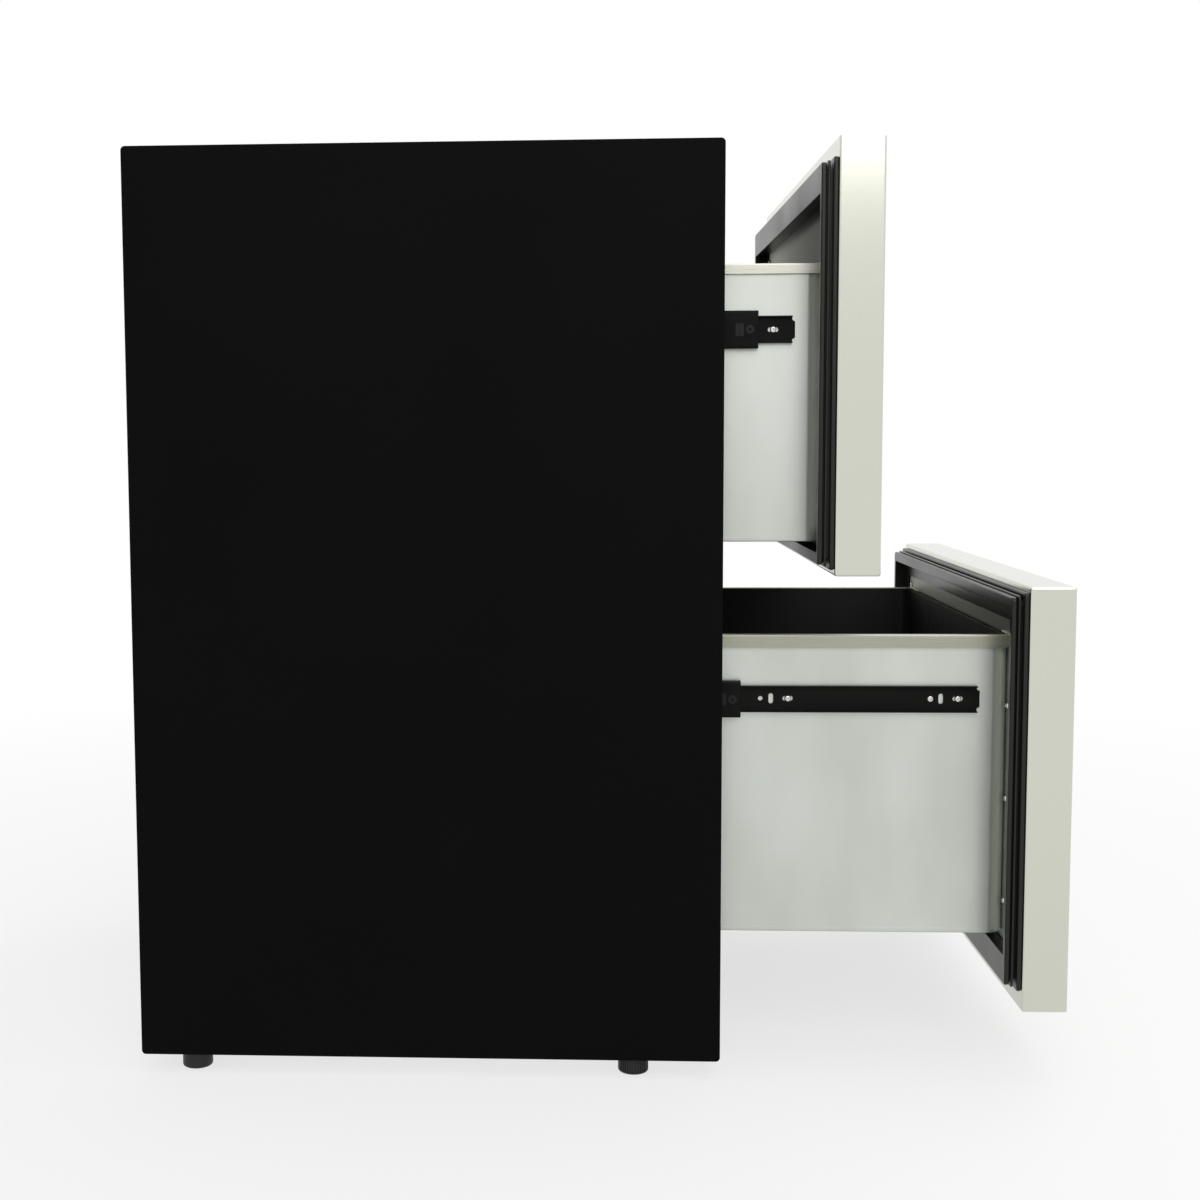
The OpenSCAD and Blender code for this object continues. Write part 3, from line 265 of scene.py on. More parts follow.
slide_coat = finish("slide_coat", grey(0.006), 0.38, specular=0.07)
tint(slide_coat, (40.0, 4.0, (1, 0.1, 1)), grey(0.005), (0.011, 0.011, 0.010), 0.4, 0.75)
polish(slide_coat, (90.0, 3.0, (1, 0.05, 1)), 0.32, 0.46)
relief(slide_coat, (1800.0, 1.0), 0.00001, 0.4)

enamel = finish("compressor_enamel", grey(0.012), 0.22)
polish(enamel, (30.0, 4.0), 0.16, 0.34)
relief(enamel, (260.0, 2.0), 0.00012, 0.5)

dip_coat = finish("condenser_coat", grey(0.014), 0.5, specular=0.3)
tint(dip_coat, (50.0, 5.0), grey(0.010), (0.035, 0.033, 0.030), 0.45, 0.8)
relief(dip_coat, (600.0, 2.0), 0.00003, 0.5)
print("materials so far:", len(bpy.data.materials))

# %% [markdown]
# ### Stainless steel
# Brushed steel is thousands of scratches that all run one way. Noise that is
# stretched along one axis gives them, and varies shade, gloss and height
# together. The fronts are brushed across and the rails along. The lower rail
# gets a darker copy of the rail steel: painted shade, for the darker
# surroundings that it mirrors. The boxes and inner panels keep a mill finish,
# whose grain has hardly a direction, and softer clouds of shade.

# %% Stainless steel
def brushed(name, colour, roughness, axis, depth, metallic=1.0):
    """Steel with scratches along one axis, 0 for X, 1 for Y and 2 for Z."""
    made = finish(name, colour, roughness, metallic=metallic)
    fine = [1.0, 1.0, 1.0]
    fine[axis] = 0.012
    scratches = pattern(made, 1100.0, 3.0, fine)
    tint(made, scratches, [c * 0.95 for c in colour], [c * 1.05 for c in colour])
    polish(made, scratches, roughness * 0.75, roughness * 1.4)
    relief(made, scratches, depth, 0.5)
    return made


front_steel = brushed("front_steel", (0.62, 0.63, 0.55), 0.14, 0, 0.000003)
panel_steel = finish("panel_steel", (0.32, 0.32, 0.27), 0.5, metallic=1.0)
tint(panel_steel, (4.0, 2.0), (0.31, 0.31, 0.26), (0.34, 0.34, 0.285))
polish(panel_steel, (500.0, 2.0), 0.46, 0.54)
rail_steel = brushed("rail_steel", (0.66, 0.66, 0.58), 0.32, 1, 0.000001, metallic=0.5)
# The lower rail's copy is darker than the rail steel: painted shade for the darker surroundings it
# mirrors.
shaded_rail_steel = brushed("shaded_rail_steel", (0.42, 0.425, 0.34), 0.32, 1, 0.000001, metallic=0.5)
box_steel = finish("box_steel", (0.66, 0.69, 0.63), 0.34, metallic=0.55)
tint(box_steel, (8.0, 3.0, (1, 1.4, 0.7)),
     (0.62, 0.65, 0.59), (0.70, 0.73, 0.68), 0.35, 0.65)
polish(box_steel, (900.0, 3.0, (1, 1, 0.03)), 0.30, 0.40)
relief(box_steel, (1300.0, 2.0, (1, 1, 0.03)), 0.000001, 0.3)
print("materials so far:", len(bpy.data.materials))

# %% [markdown]
# ### Zinc, copper and aluminium
# Hot-dip zinc freezes into patches that each mirror a little differently, so
# Voronoi cells vary both its shade and its gloss. Screws are plated bright.
# Copper darkens in clouds, and aluminium fins stay pale and clean.

# %% Bare metals
zinc_sheet = finish("zinc_sheet", (0.5, 0.52, 0.53), 0.4, metallic=1.0)
spangle = pattern(zinc_sheet, 70.0, cells=True)
tint(zinc_sheet, spangle, (0.46, 0.48, 0.50), (0.54, 0.56, 0.575), 0.2, 0.8)
polish(zinc_sheet, spangle, 0.36, 0.46)
relief(zinc_sheet, (500.0, 2.0), 0.00001, 0.3)

bright_zinc = finish("bright_zinc", (0.62, 0.62, 0.60), 0.2, metallic=1.0)
polish(bright_zinc, (700.0, 3.0), 0.15, 0.27)
relief(bright_zinc, (1500.0, 2.0), 0.000008, 0.3)

cage_steel = finish("cage_steel", (0.42, 0.43, 0.44), 0.3, metallic=1.0)
polish(cage_steel, (120.0, 3.0, (1, 0.05, 1)), 0.24, 0.42)
relief(cage_steel, (900.0, 2.0, (1, 0.05, 1)), 0.000006, 0.3)

copper = finish("copper_tube", (0.72, 0.38, 0.24), 0.3, metallic=1.0)
tint(copper, (45.0, 5.0), (0.42, 0.21, 0.13), (0.76, 0.42, 0.27), 0.3, 0.6)
polish(copper, (80.0, 4.0), 0.22, 0.44)

fins_metal = finish("aluminium_fins", (0.72, 0.73, 0.74), 0.34, metallic=1.0)
polish(fins_metal, (400.0, 3.0, (1, 1, 0.1)), 0.28, 0.42)
relief(fins_metal, (300.0, 2.0), 0.00001, 0.3)

motor_metal = finish("motor_can", (0.30, 0.30, 0.31), 0.42, metallic=0.8)
polish(motor_metal, (300.0, 3.0), 0.36, 0.5)
relief(motor_metal, (700.0, 2.0), 0.00001, 0.4)
print("materials so far:", len(bpy.data.materials))

# %% [markdown]
# ### Plastic, rubber and foam
# Moulded plastic copies the fine spark texture of its mould, and rubber is
# duller and a little uneven. The gasket is soft vinyl: black, with a satin
# sheen that shows its ribs as grey lines.

# %% Plastics and rubber
def moulded(name, colour, roughness, grain=1100.0, depth=0.00002, specular=0.4):
    """Plastic with the fine grain of its mould."""
    made = finish(name, colour, roughness, specular=specular)
    tint(made, (12.0, 4.0), [c * 0.9 for c in colour], [c * 1.1 for c in colour])
    polish(made, (60.0, 3.0), roughness - 0.06, roughness + 0.08)
    relief(made, (grain, 2.0), depth, 0.5)
    return made


vinyl = finish("gasket_vinyl", (0.009, 0.009, 0.0085), 0.3, specular=0.33)
shader_of(vinyl).inputs["Specular Tint"].default_value = (0.97, 1.0, 0.89, 1)
tint(vinyl, (9.0, 3.0), (0.008, 0.008, 0.0075), (0.011, 0.011, 0.010))
polish(vinyl, (6.0, 2.0), 0.26, 0.34)
relief(vinyl, (900.0, 1.0), 0.000002, 0.4)
lens_plastic = moulded("lamp_plastic", (0.82, 0.82, 0.78), 0.3, 400.0)
shader_of(lens_plastic).inputs["Transmission Weight"].default_value = 0.55
stop_plastic = moulded("stop_plastic", grey(0.010), 0.4, specular=0.2)
slot_finish = {
    "gasket": vinyl, "lamp": lens_plastic,
    "tub": moulded("tub_plastic", grey(0.009), 0.5, 700.0, 0.00003, 0.25),
    "grille": moulded("grille_plastic", grey(0.012), 0.42),
    "foot": moulded("foot_plastic", grey(0.010), 0.45),
    "liner": moulded("liner_plastic", grey(0.022), 0.35, 500.0),
    "cover": moulded("cover_plastic", (0.035, 0.035, 0.036), 0.4),
    "fan": moulded("fan_plastic", grey(0.014), 0.35),
    "tray": moulded("tray_plastic", grey(0.020), 0.45),
    "control": moulded("control_plastic", (0.03, 0.03, 0.031), 0.38),
    "knob": moulded("knob_plastic", (0.62, 0.62, 0.59), 0.35),
    "grommet": moulded("mount_rubber", (0.014, 0.014, 0.013), 0.62, 300.0, 0.00004, 0.3),
    "gland": moulded("gland_plastic", grey(0.012), 0.4),
    "foam": moulded("rigid_foam", (0.66, 0.55, 0.32), 0.85, 260.0, 0.0004, 0.1),
}
print("materials so far:", len(bpy.data.materials))

# %% [markdown]
# ### A finish for every solid
# The record names a material slot for every node, so a table from slot to
# finish dresses all of the solids at once, and no node is left bare.

# %% Dress the solids
slot_finish.update({
    "cabinet_black": black_paint, "galvanised": zinc_sheet, "fins": fins_metal,
    "motor": motor_metal, "compressor": enamel, "condenser": dip_coat, "shroud": zinc_sheet,
    "copper": copper, "zinc": bright_zinc, "slide_black": slide_coat, "cage": cage_steel,
    "stainless": front_steel, "inner_steel": panel_steel, "box_grey": box_steel,
})
node_slot = {part["node"]: part["material_slot"] for part in frame["record"]["subparts"]}
for name, node in nodes.items():
    node.data.materials.clear()
    node.data.materials.append(slot_finish[node_slot[name]])
print("dressed:", len(node_slot), "of", len(nodes))

# %% [markdown]
# ## Tools for shaping
# Every new piece starts as a block or a drum that is added at its size and
# place. Edges and faces are then picked by where they lie and which way they
# run, as they would be picked by eye, and worked on in edit mode. A small
# margin is enough to tell one face from the next.

# %% Start a piece
def take(*pieces):
    """Selects just these pieces and makes the first one active."""
    bpy.ops.object.select_all(action="DESELECT")
    for piece in pieces:
        piece.select_set(True)
    bpy.context.view_layer.objects.active = pieces[0]


def named(piece, name):
    """Names a piece and its mesh."""
    piece.name = piece.data.name = name
    return piece


def block(name, low, high):
    """A box from its lowest to its highest corner, with its place in its mesh."""
    bpy.ops.object.select_all(action="DESELECT")
    low, high = Vector(low), Vector(high)
    bpy.ops.mesh.primitive_cube_add(size=1, location=(low + high) / 2)
    piece = named(bpy.context.object, name)
    piece.scale = high - low
    bpy.ops.object.transform_apply(location=True, rotation=True, scale=True)
    return piece


def drum(name, start, end, radius, sides):
    """A cylinder from one point to another."""
    bpy.ops.object.select_all(action="DESELECT")
    start, end = Vector(start), Vector(end)
    bpy.ops.mesh.primitive_cylinder_add(
        vertices=sides, radius=radius, depth=(end - start).length, location=(start + end) / 2,
        rotation=(end - start).to_track_quat("Z", "Y").to_euler())
    piece = named(bpy.context.object, name)
    bpy.ops.object.transform_apply(location=True, rotation=True, scale=True)
    return piece


print("blocks and drums can be started")

# %% Pick edges and faces
margin = 1e-5


def near(a, b):
    return abs(a - b) < margin


def pick(piece, kind, test):
    """Enters edit mode with just the edges or faces selected that pass the test."""
    take(piece)
    bpy.ops.object.mode_set(mode="EDIT")
    bpy.ops.mesh.select_mode(type="FACE" if kind == "faces" else "EDGE")
    bpy.ops.mesh.select_all(action="DESELECT")
    mesh = bmesh.from_edit_mesh(piece.data)
    count = 0
    for item in getattr(mesh, kind):
        if test(item):
            item.select_set(True)
            count += 1
    bmesh.update_edit_mesh(piece.data)
    return count


def runs_along(edge, axis):
    """True for an edge that is parallel to an axis, 0 for X, 1 for Y and 2 for Z."""
    step = edge.verts[1].co - edge.verts[0].co
    return abs(step[axis]) > 0.999 * step.length


def along(axis):
    """The test for edges that run along an axis."""
    return lambda edge: runs_along(edge, axis)


def rim(axis, place):
    """The test for edges that lie, with both ends, at one place on an axis."""
    return lambda edge: all(near(v.co[axis], place) for v in edge.verts)


def every(item):
    """The test that all edges and faces pass."""
    return True


def middle(item):
    return sum((v.co for v in item.verts), Vector()) / len(item.verts)


def turn_of(face, centre, a, b):
    """How far a face lies round a centre, from 0 to 1, in the plane of two axes."""
    out = middle(face) - Vector(centre)
    flat = Vector((out[a], out[b]))
    if flat.length < 0.001:
        return 0.0
    return (Vector((1, 0)).angle_signed(flat, 0.0) / (2 * pi)) % 1.0


print("edges and faces can be picked")

# %% Work on what is picked
def work(piece, kind, test, operator, **settings):
    """Runs an edit operator on the picked edges or faces."""
    if pick(piece, kind, test):
        operator(**settings)
    bpy.ops.object.mode_set(mode="OBJECT")
    return piece


def soften(piece, radius, test, segments):
    """Rounds the picked edges."""
    return work(piece, "edges", test, bpy.ops.mesh.bevel, offset=radius, offset_type="OFFSET",
                segments=segments, profile=0.5, affect="EDGES", clamp_overlap=True)


def cut(piece, cutter, how="DIFFERENCE"):
    """Cuts a piece by another one, or joins it on, and uses the other one up."""
    take(piece)
    change = piece.modifiers.new("cut", "BOOLEAN")
    change.operation = how
    change.solver = "EXACT"
    change.object = cutter
    bpy.ops.object.modifier_apply(modifier=change.name)
    used = cutter.data
    bpy.data.objects.remove(cutter)
    bpy.data.meshes.remove(used)
    return piece


def fuse(pieces, name=None):
    """Makes one object of several, without cutting them."""
    take(*pieces)
    bpy.ops.object.join()
    return named(pieces[0], name or pieces[0].name)


def drop(*spares):
    """Removes the first ones of a kind, once they have been copied."""
    for spare in spares:
        bpy.data.objects.remove(spare)


def copy_of(piece, name, step=(0, 0, 0)):
    """A copy with a mesh of its own, moved by a step."""
    twin = piece.copy()
    twin.data = piece.data.copy()
    named(twin, name)
    bpy.context.scene.collection.objects.link(twin)
    twin.data.transform(Matrix.Translation(step))
    return twin


def both_sides(piece):
    """Adds the piece's mirror image on the other side of the appliance."""
    twin = copy_of(piece, piece.name + "_twin")
    twin.scale = (-1, 1, 1)
    take(twin)
    bpy.ops.object.transform_apply(location=False, rotation=False, scale=True)
    work(twin, "faces", every, bpy.ops.mesh.normals_make_consistent, inside=False)
    return fuse([piece, twin])


print("bevels, extrusions, cuts and copies are ready")

# %% Hand a finished piece to its body
def hand_over(piece, body, slot, *stands_for, surface=None, angle=32):
    """Smooths a piece, gives it its slot's finish and lets it ride on its body."""
    take(piece)
    bpy.ops.object.shade_smooth_by_angle(angle=radians(angle))
    even = piece.modifiers.new("even", "WEIGHTED_NORMAL")
    even.keep_sharp = True
    bpy.ops.object.modifier_apply(modifier=even.name)
    piece.data.materials.clear()
    piece.data.materials.append(surface or slot_finish[slot])
    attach(piece, body)
    if stands_for:
        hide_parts(*stands_for)
    bpy.ops.object.select_all(action="DESELECT")
    print(piece.name, "rides on", body, "with", len(piece.data.polygons), "faces")


drawers = ("upper", "lower")
seat_y = {which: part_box(which + "_gasket")[1].y for which in drawers}
print("rear faces of the gaskets:", seat_y)

# %% [markdown]
# ## Steel fronts
# Each front is a tray of stainless sheet, folded on all sides and welded and
# ground at its corners, so no edge is sharp. A block with bevelled edges has
# that shape at once. It is hollowed from behind, which leaves the flanges
# that turn in under the gasket.

# %% Steel fronts
sheet = 0.0012
fold = 0.0022
gap = 0.0002
for which in drawers:
    low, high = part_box(which + "_front_skin")
    panel_low, panel_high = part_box(which + "_inner_panel")
    front = block(which + "_steel_front", low, high)
    soften(front, fold, every, 4)
    shrink = Vector((sheet, sheet, sheet))
    hollow = block("hollow", low + shrink, high - shrink)
    cut(front, soften(hollow, fold - sheet, every, 2))
    mouth = block("mouth", (panel_low.x - gap, high.y - 2 * sheet, panel_low.z - gap),
                  (panel_high.x + gap, high.y + sheet, panel_high.z + gap))
    cut(front, mouth)
    hand_over(front, which + "_drawer", "stainless", which + "_front_skin")

# %% [markdown]
# ## Gaskets
# A refrigerator gasket is a soft extruded frame: a base that clips to the
# door, a narrow waist that lets it fold, a ridge, a slit, and the lobe with
# the magnet strip. A profile could be swept round the frame. Here the frame
# grows in layers instead, one rounded block for each step of the profile, and
# the opening is cut through them all, which keeps the corners true in each.

# %% Gasket layers
layers = (0.0045, 0.0028, 0.0020, 0.0012, 0.0045)
edge_steps = (0.0, 0.0090, 0.0030, 0.0085, 0.0045)
lips = (0.0016, 0, 0.0009, 0, 0.0016)
strip_side = 0.012
strip_outer = 0.032
strip_inner = 0.0155
flange = 0.0015
slack = 0.0005


def ring_layer(name, low, high, y, depth, step, lip):
    """One layer of a gasket with rounded corners and soft edges."""
    layer = block(name, (low.x + step, y, low.z + step), (high.x - step, y + depth, high.z - step))
    soften(layer, 0.004, along(1), 5)
    if lip:
        soften(layer, lip, lambda edge: not runs_along(edge, 1), 4)
    return layer


for which in drawers:
    low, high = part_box(which + "_gasket")
    y = low.y
    rings = []
    for depth, step, lip in zip(layers, edge_steps, lips):
        sunk = 0.0002 if rings else 0
        rings.append(ring_layer("ring", low, high, y - sunk, depth + sunk, step, lip))
        y += depth
    bottom, top = (strip_inner, strip_outer) if which == "upper" else (strip_outer, strip_inner)
    body = rings[0]
    for ring in rings[1:]:
        cut(body, ring, "UNION")
    window = block("window", (low.x + strip_side, low.y - 0.001, low.z + bottom),
                   (high.x - strip_side, high.y + 0.001, high.z - top))
    cut(body, soften(window, 0.002, along(1), 3))
    soften(body, 0.0008, lambda edge: near(middle(edge).y, high.y) and not runs_along(edge, 1)
           and abs(middle(edge).x) < high.x - strip_side + slack
           and low.z + bottom - slack < middle(edge).z < high.z - top + slack, 2)
    panel_low, panel_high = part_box(which + "_inner_panel")
    tuck = Vector((0.004, 0, 0.004))
    seen_low, seen_high = panel_low + tuck, panel_high - tuck
    retainer = block("retainer", (low.x + strip_side - 0.001, low.y, low.z + bottom - 0.001),
                     (high.x - strip_side + 0.001, low.y + flange, high.z - top + 0.001))
    opening = block("opening", (seen_low.x, low.y - 0.001, seen_low.z),
                    (seen_high.x, low.y + 0.01, seen_high.z))
    cut(retainer, soften(opening, 0.003, along(1), 3))
    body = fuse([body, retainer], which + "_ribbed_gasket")
    hand_over(body, which + "_drawer", "gasket", which + "_gasket")

# %% [markdown]
# ## Drawer boxes
# The boxes are folded from steel sheet. Their corners are wide curves, the
# bottom is a shallow pan whose edge laps round the walls and shows as a fine
# line, and the lower box steps up over the machine compartment. Blocks with
# bevelled corners are joined to the outline, and a smaller set is cut out.

# %% Stepped bodies
corner = 0.017
floor_length = {"upper": 0.440, "lower": 0.321}
step_z = 0.312
screw_places = (0.037, 0.198, 0.418)
pilot_radius = 0.0021


def middle_z(node):
    """The height of the middle of a node."""
    low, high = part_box(node)
    return (low.z + high.z) / 2


def rounded_block(name, low, high, radius, foot=0.0):
    """A block with upright corners of one radius and a rounded lower edge."""
    body = block(name, low, high)
    soften(body, radius, along(2), 8)
    if foot:
        soften(body, foot, rim(2, low[2]), 3)
    return body


def stepped_body(name, which, inset, floor, top, foot):
    """The outline of a drawer box, shrunk by an inset, from a floor to a top."""
    low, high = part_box(which + "_box")
    radius = corner - inset
    if which == "upper":
        return rounded_block(name, (low.x + inset, low.y + inset, low.z + floor),
                             (high.x - inset, high.y - inset, top), radius, foot)
    step_y = seat_y["lower"] + floor_length["lower"]
    deep = rounded_block(name, (low.x + inset, low.y + inset, low.z + floor),
                         (high.x - inset, step_y - inset, top), radius, foot)
    long = rounded_block("long", (low.x + inset, low.y + inset, step_z + floor),
                         (high.x - inset, high.y - inset, top), radius, foot)
    return cut(deep, long, "UNION")


lap = 0.0004
for which in drawers:
    low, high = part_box(which + "_box")
    shell = stepped_body(which + "_steel_box", which, lap, 0.0, high.z, 0.0015)
    cut(shell, stepped_body("inside", which, sheet, sheet, high.z + 0.001, 0.0008))
    pan_rear = seat_y[which] + floor_length[which]
    pan = rounded_block("pan", low, (high.x, pan_rear, low.z + 0.0045), corner, 0.0016)
    cut(pan, rounded_block("well", (low.x + 2 * lap, low.y + 2 * lap, low.z + 0.0006),
                           (high.x - 2 * lap, pan_rear - 2 * lap, low.z + 0.01), corner - 2 * lap))
    z = middle_z(which + "_inner_members")
    for y in [place + seat_y[which] for place in screw_places]:
        for side in (-1, 1):
            cut(shell, drum("hole", (side * 0.238, y, z), (side * 0.246, y, z), pilot_radius, 16))
    hand_over(fuse([shell, pan]), which + "_drawer", "box_grey", which + "_box")

# %% [markdown]
# The black tubs inside are one moulding each, so their floors meet the walls
# in a curve. They are made like the boxes, from two sets of rounded blocks.

# %% Tubs
gap, wall = 0.0015, 0.002
for which in drawers:
    low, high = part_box(which + "_tub")
    tub = stepped_body(which + "_moulded_tub", which, gap, sheet, high.z, 0.003)
    cut(tub, stepped_body("inside", which, gap + wall, sheet + wall, high.z + 0.001, 0.006))
    soften(tub, 0.0006, rim(2, high.z), 2)
    hand_over(tub, which + "_drawer", "tub", which + "_tub")

# %% [markdown]
# ## Rails
# A steel rail is folded over the rim along both sides and the rear. Its top
# edge is a little rounded, and so is the lower corner of each front end. It
# starts as a block with rounded rear corners, and the space for the wall and
# the way into the tub are cut out of it.

# %% Rails
rail_corner = 0.020


def at_rear(edge):
    """True for the upright edges at the rear end of a rail, which lies behind y = 0."""
    return runs_along(edge, 2) and middle(edge).y > 0


for which in drawers:
    low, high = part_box(which + "_box_rail")
    rail = block(which + "_bright_rail", low, high)
    soften(rail, rail_corner, at_rear, 10)
    soften(rail, 0.0013, lambda edge: near(middle(edge).z, high.z)
           and not near(middle(edge).y, low.y), 4)
    soften(rail, 0.004, lambda edge: runs_along(edge, 0) and near(middle(edge).z, low.z)
           and near(middle(edge).y, low.y), 4)
    slot = block("slot", (low.x + sheet, low.y - 0.002, low.z - 0.001),
                 (high.x - sheet, high.y - sheet, high.z - sheet))
    cut(rail, soften(slot, rail_corner - sheet, at_rear, 10))
    way_in = block("way_in", (low.x + 0.008, low.y - 0.002, low.z - 0.002),
                   (high.x - 0.008, high.y - 0.008, high.z + 0.002))
    cut(rail, soften(way_in, 0.012, at_rear, 8))
    # The lower rail gets the darker copy of the rail steel, which is painted shade.
    hand_over(rail, which + "_drawer", "stainless", which + "_box_rail",
              surface=rail_steel if which == "upper" else shaded_rail_steel)

# %% [markdown]
# ## Slides
# A telescopic slide is three channels of rolled steel that run in each other
# on balls. Each is a web with a rounded bend on both sides and, on the two
# outer ones, a lip that keeps the balls in. A block is bevelled along its
# bends and cut open, once for the left side, and mirrored for the right.

# %% Rolled channels
def channel(name, low, high, web_left, wall, bend, lip=0, lip_wall=0):
    """A channel along Y whose web is its left or its right side."""
    rail = block(name, low, high)
    web_x = low.x if web_left else high.x
    soften(rail, bend, lambda edge: runs_along(edge, 1) and near(middle(edge).x, web_x), 4)
    reach = 0.01
    inner_web = low.x + wall if web_left else high.x - wall
    start_x = inner_web if web_left else low.x + (lip_wall if lip else -reach)
    end_x = high.x + (-lip_wall if lip else reach) if web_left else inner_web
    space = block("space", (start_x, low.y - reach, low.z + wall),
                  (end_x, high.y + reach, high.z - wall))
    soften(space, max(0.0004, bend - wall),
           lambda edge: runs_along(edge, 1) and near(middle(edge).x, inner_web), 3)
    cut(rail, space)
    if lip:
        start_x = inner_web + 0.001 if web_left else low.x - reach
        end_x = high.x + reach if web_left else inner_web - 0.001
        cut(rail, block("mouth", (start_x, low.y - reach, low.z + wall + lip),
                        (end_x, high.y + reach, high.z - wall - lip)))
    return rail


def left_box(name, inner_x):
    """The box of the left one of a pair of channels."""
    low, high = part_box(name)
    return low, Vector((inner_x, high.y, high.z))


wall_x = -0.255
member_wall, outer_bend, inner_bend = 0.0012, 0.0022, 0.0018
print("slides stand on the cavity wall at x =", wall_x)

# %% [markdown]
# The member on the drawer faces outwards, so its web shows: screw slots,
# cross slots and round holes, and at its front a short tongue between two
# notches. Each slot is a block with fully rounded ends that is cut out.

# %% Drawer members
toward_middle = (1, 1, -1)
cross_step, hole_step = 0.016, 0.026
hole_radius = 0.0023
web_out, web_in = 0.2435, 0.2423


def slot_cutter(y, z, along_y):
    """A rounded slot through a drawer member's web."""
    long, wide = 0.005, hole_radius
    reach_y, reach_z = (long, wide) if along_y else (wide, long)
    made = block("slot", (-web_out - 0.001, y - reach_y, z - reach_z),
                 (-web_in + 0.0001, y + reach_y, z + reach_z))
    return soften(made, hole_radius - 0.00002, along(0), 6)


for which in drawers:
    low, high = left_box(which + "_inner_members", wall_x + 0.0127)
    z = (low.z + high.z) / 2
    member = channel(which + "_drawer_member", low, high, False, member_wall, inner_bend)
    for side in (-1, 1):
        notch_z = z + side * 0.0111
        notch = block("notch", (low.x - 0.001, low.y - 0.001, notch_z - 0.0032),
                      (high.x + 0.001, low.y + 0.0027, notch_z + 0.0032))
        soften(notch, 0.0015, lambda edge: runs_along(edge, 0) and middle(edge).y > low.y, 1)
        cut(member, notch)
    slots = []
    for place, way in zip(screw_places, toward_middle):
        y = seat_y[which] + place
        slots.append(slot_cutter(y, z, True))
        slots.append(slot_cutter(y + way * cross_step, z, False))
        y += way * hole_step
        slots.append(drum("hole", (-web_out - 0.001, y, z), (-web_in + 0.0001, y, z),
                          hole_radius, 20))
    cut(member, fuse(slots))
    hand_over(both_sides(member), which + "_drawer", "slide_black", which + "_inner_members")

# %% [markdown]
# The middle member has its web towards the cabinet wall. Its front end holds
# a plastic stop: a small window with the catch behind it and a round boss
# with a dimple. Both are black on black, and show by their edges alone.

# %% Middle members
for which in drawers:
    low, high = left_box(which + "_middle_members", wall_x + 0.011)
    z = (low.z + high.z) / 2
    member = channel(which + "_middle_member", low, high, True, member_wall, outer_bend,
                     0.0009, 0.0009)
    window = block("window", (low.x - 0.001, low.y + 0.0132, z - 0.0062),
                   (low.x + 0.002, low.y + 0.0213, z + 0.0062))
    cut(member, soften(window, 0.001, along(0), 3))
    for end_y in (low.y, high.y):
        soften(member, 0.0008, lambda edge: rim(1, end_y)(edge) and runs_along(edge, 2)
               and near(middle(edge).x, low.x), 2)
    member = both_sides(member)
    boss_y, proud_x = low.y + 0.0078, low.x - 0.0003
    boss = drum("boss", (proud_x, boss_y, z), (low.x + 0.0005, boss_y, z), 0.0042, 28)
    soften(boss, 0.0002, rim(0, proud_x), 1)
    cut(boss, drum("dimple", (low.x - 0.001, boss_y, z), (low.x + 0.0003, boss_y, z), 0.0014, 16))
    catch = block("catch", (low.x + 0.0009, low.y + 0.003, z - 0.013),
                  (low.x + 0.0016, low.y + 0.026, z + 0.013))
    soften(catch, 0.0002, every, 2)
    tooth = block("tooth", (low.x + 0.0003, low.y + 0.0150, z - 0.0045),
                  (low.x + 0.0013, low.y + 0.0176, z + 0.0045))
    soften(tooth, 0.0003, every, 2)
    stop = named(both_sides(fuse([boss, catch, tooth])), which + "_slide_stop")
    hand_over(stop, which + "_slide", "slide_black", surface=stop_plastic)
    hand_over(member, which + "_slide", "slide_black", which + "_middle_members")

# %% Cabinet members
for which in drawers:
    low, high = left_box(which + "_outer_members", wall_x + 0.0095)
    member = channel(which + "_cabinet_member", low, high, True, member_wall, outer_bend,
                     0.0026, member_wall)
    hand_over(both_sides(member), "cabinet", "slide_black", which + "_outer_members")

# %% [markdown]
# ## Screws
# All of the drawer screws are pan heads with a cross recess. One is turned
# from a drum, its rim rounded and its recess cut by two crossed bars that
# taper to the bottom, and every other screw is a copy with its own mesh.

# %% One pan head screw
def pan_head(name, radius, height, shank):
    """A screw whose head rests on z = 0 with its drive on top."""
    head = drum(name, (0, 0, 0), (0, 0, height), radius, 32)
    soften(head, height * 0.62, rim(2, height), 5)
    for turn in (0, 1):
        wide, long = radius * 0.19, radius * 0.66
        half = (long, wide) if turn else (wide, long)
        bar = block("bar", (-half[0], -half[1], height * 0.2), (half[0], half[1], height + 0.001))
        cut(head, work(bar, "faces", lambda face: face.normal.z < -0.9,
                       bpy.ops.transform.resize, value=(0.5, 0.5, 1)))
    return fuse([head, drum("shank", (0, 0, -shank), (0, 0, 0.0002), 0.0019, 16)])


slide_screw = pan_head("slide_screw", 0.0030, 0.0018, 0.0022)
bracket_screw = pan_head("bracket_screw", 0.0032, 0.0030, 0.0028)
print("faces:", [len(screw.data.polygons) for screw in (slide_screw, bracket_screw)])

# %% Place the screws
def placed(screw, place, toward):
    """A copy of a screw at a place, its drive towards an axis, turned as its place says."""
    twin = copy_of(screw, "screw")
    spin = Matrix.Rotation(place[1] * 37.0 + place[2] * 11.0, 4, "Z")
    aim = Vector(toward).to_track_quat("Z", "Y").to_matrix().to_4x4()
    twin.data.transform(Matrix.Translation(place) @ aim @ spin)
    return twin


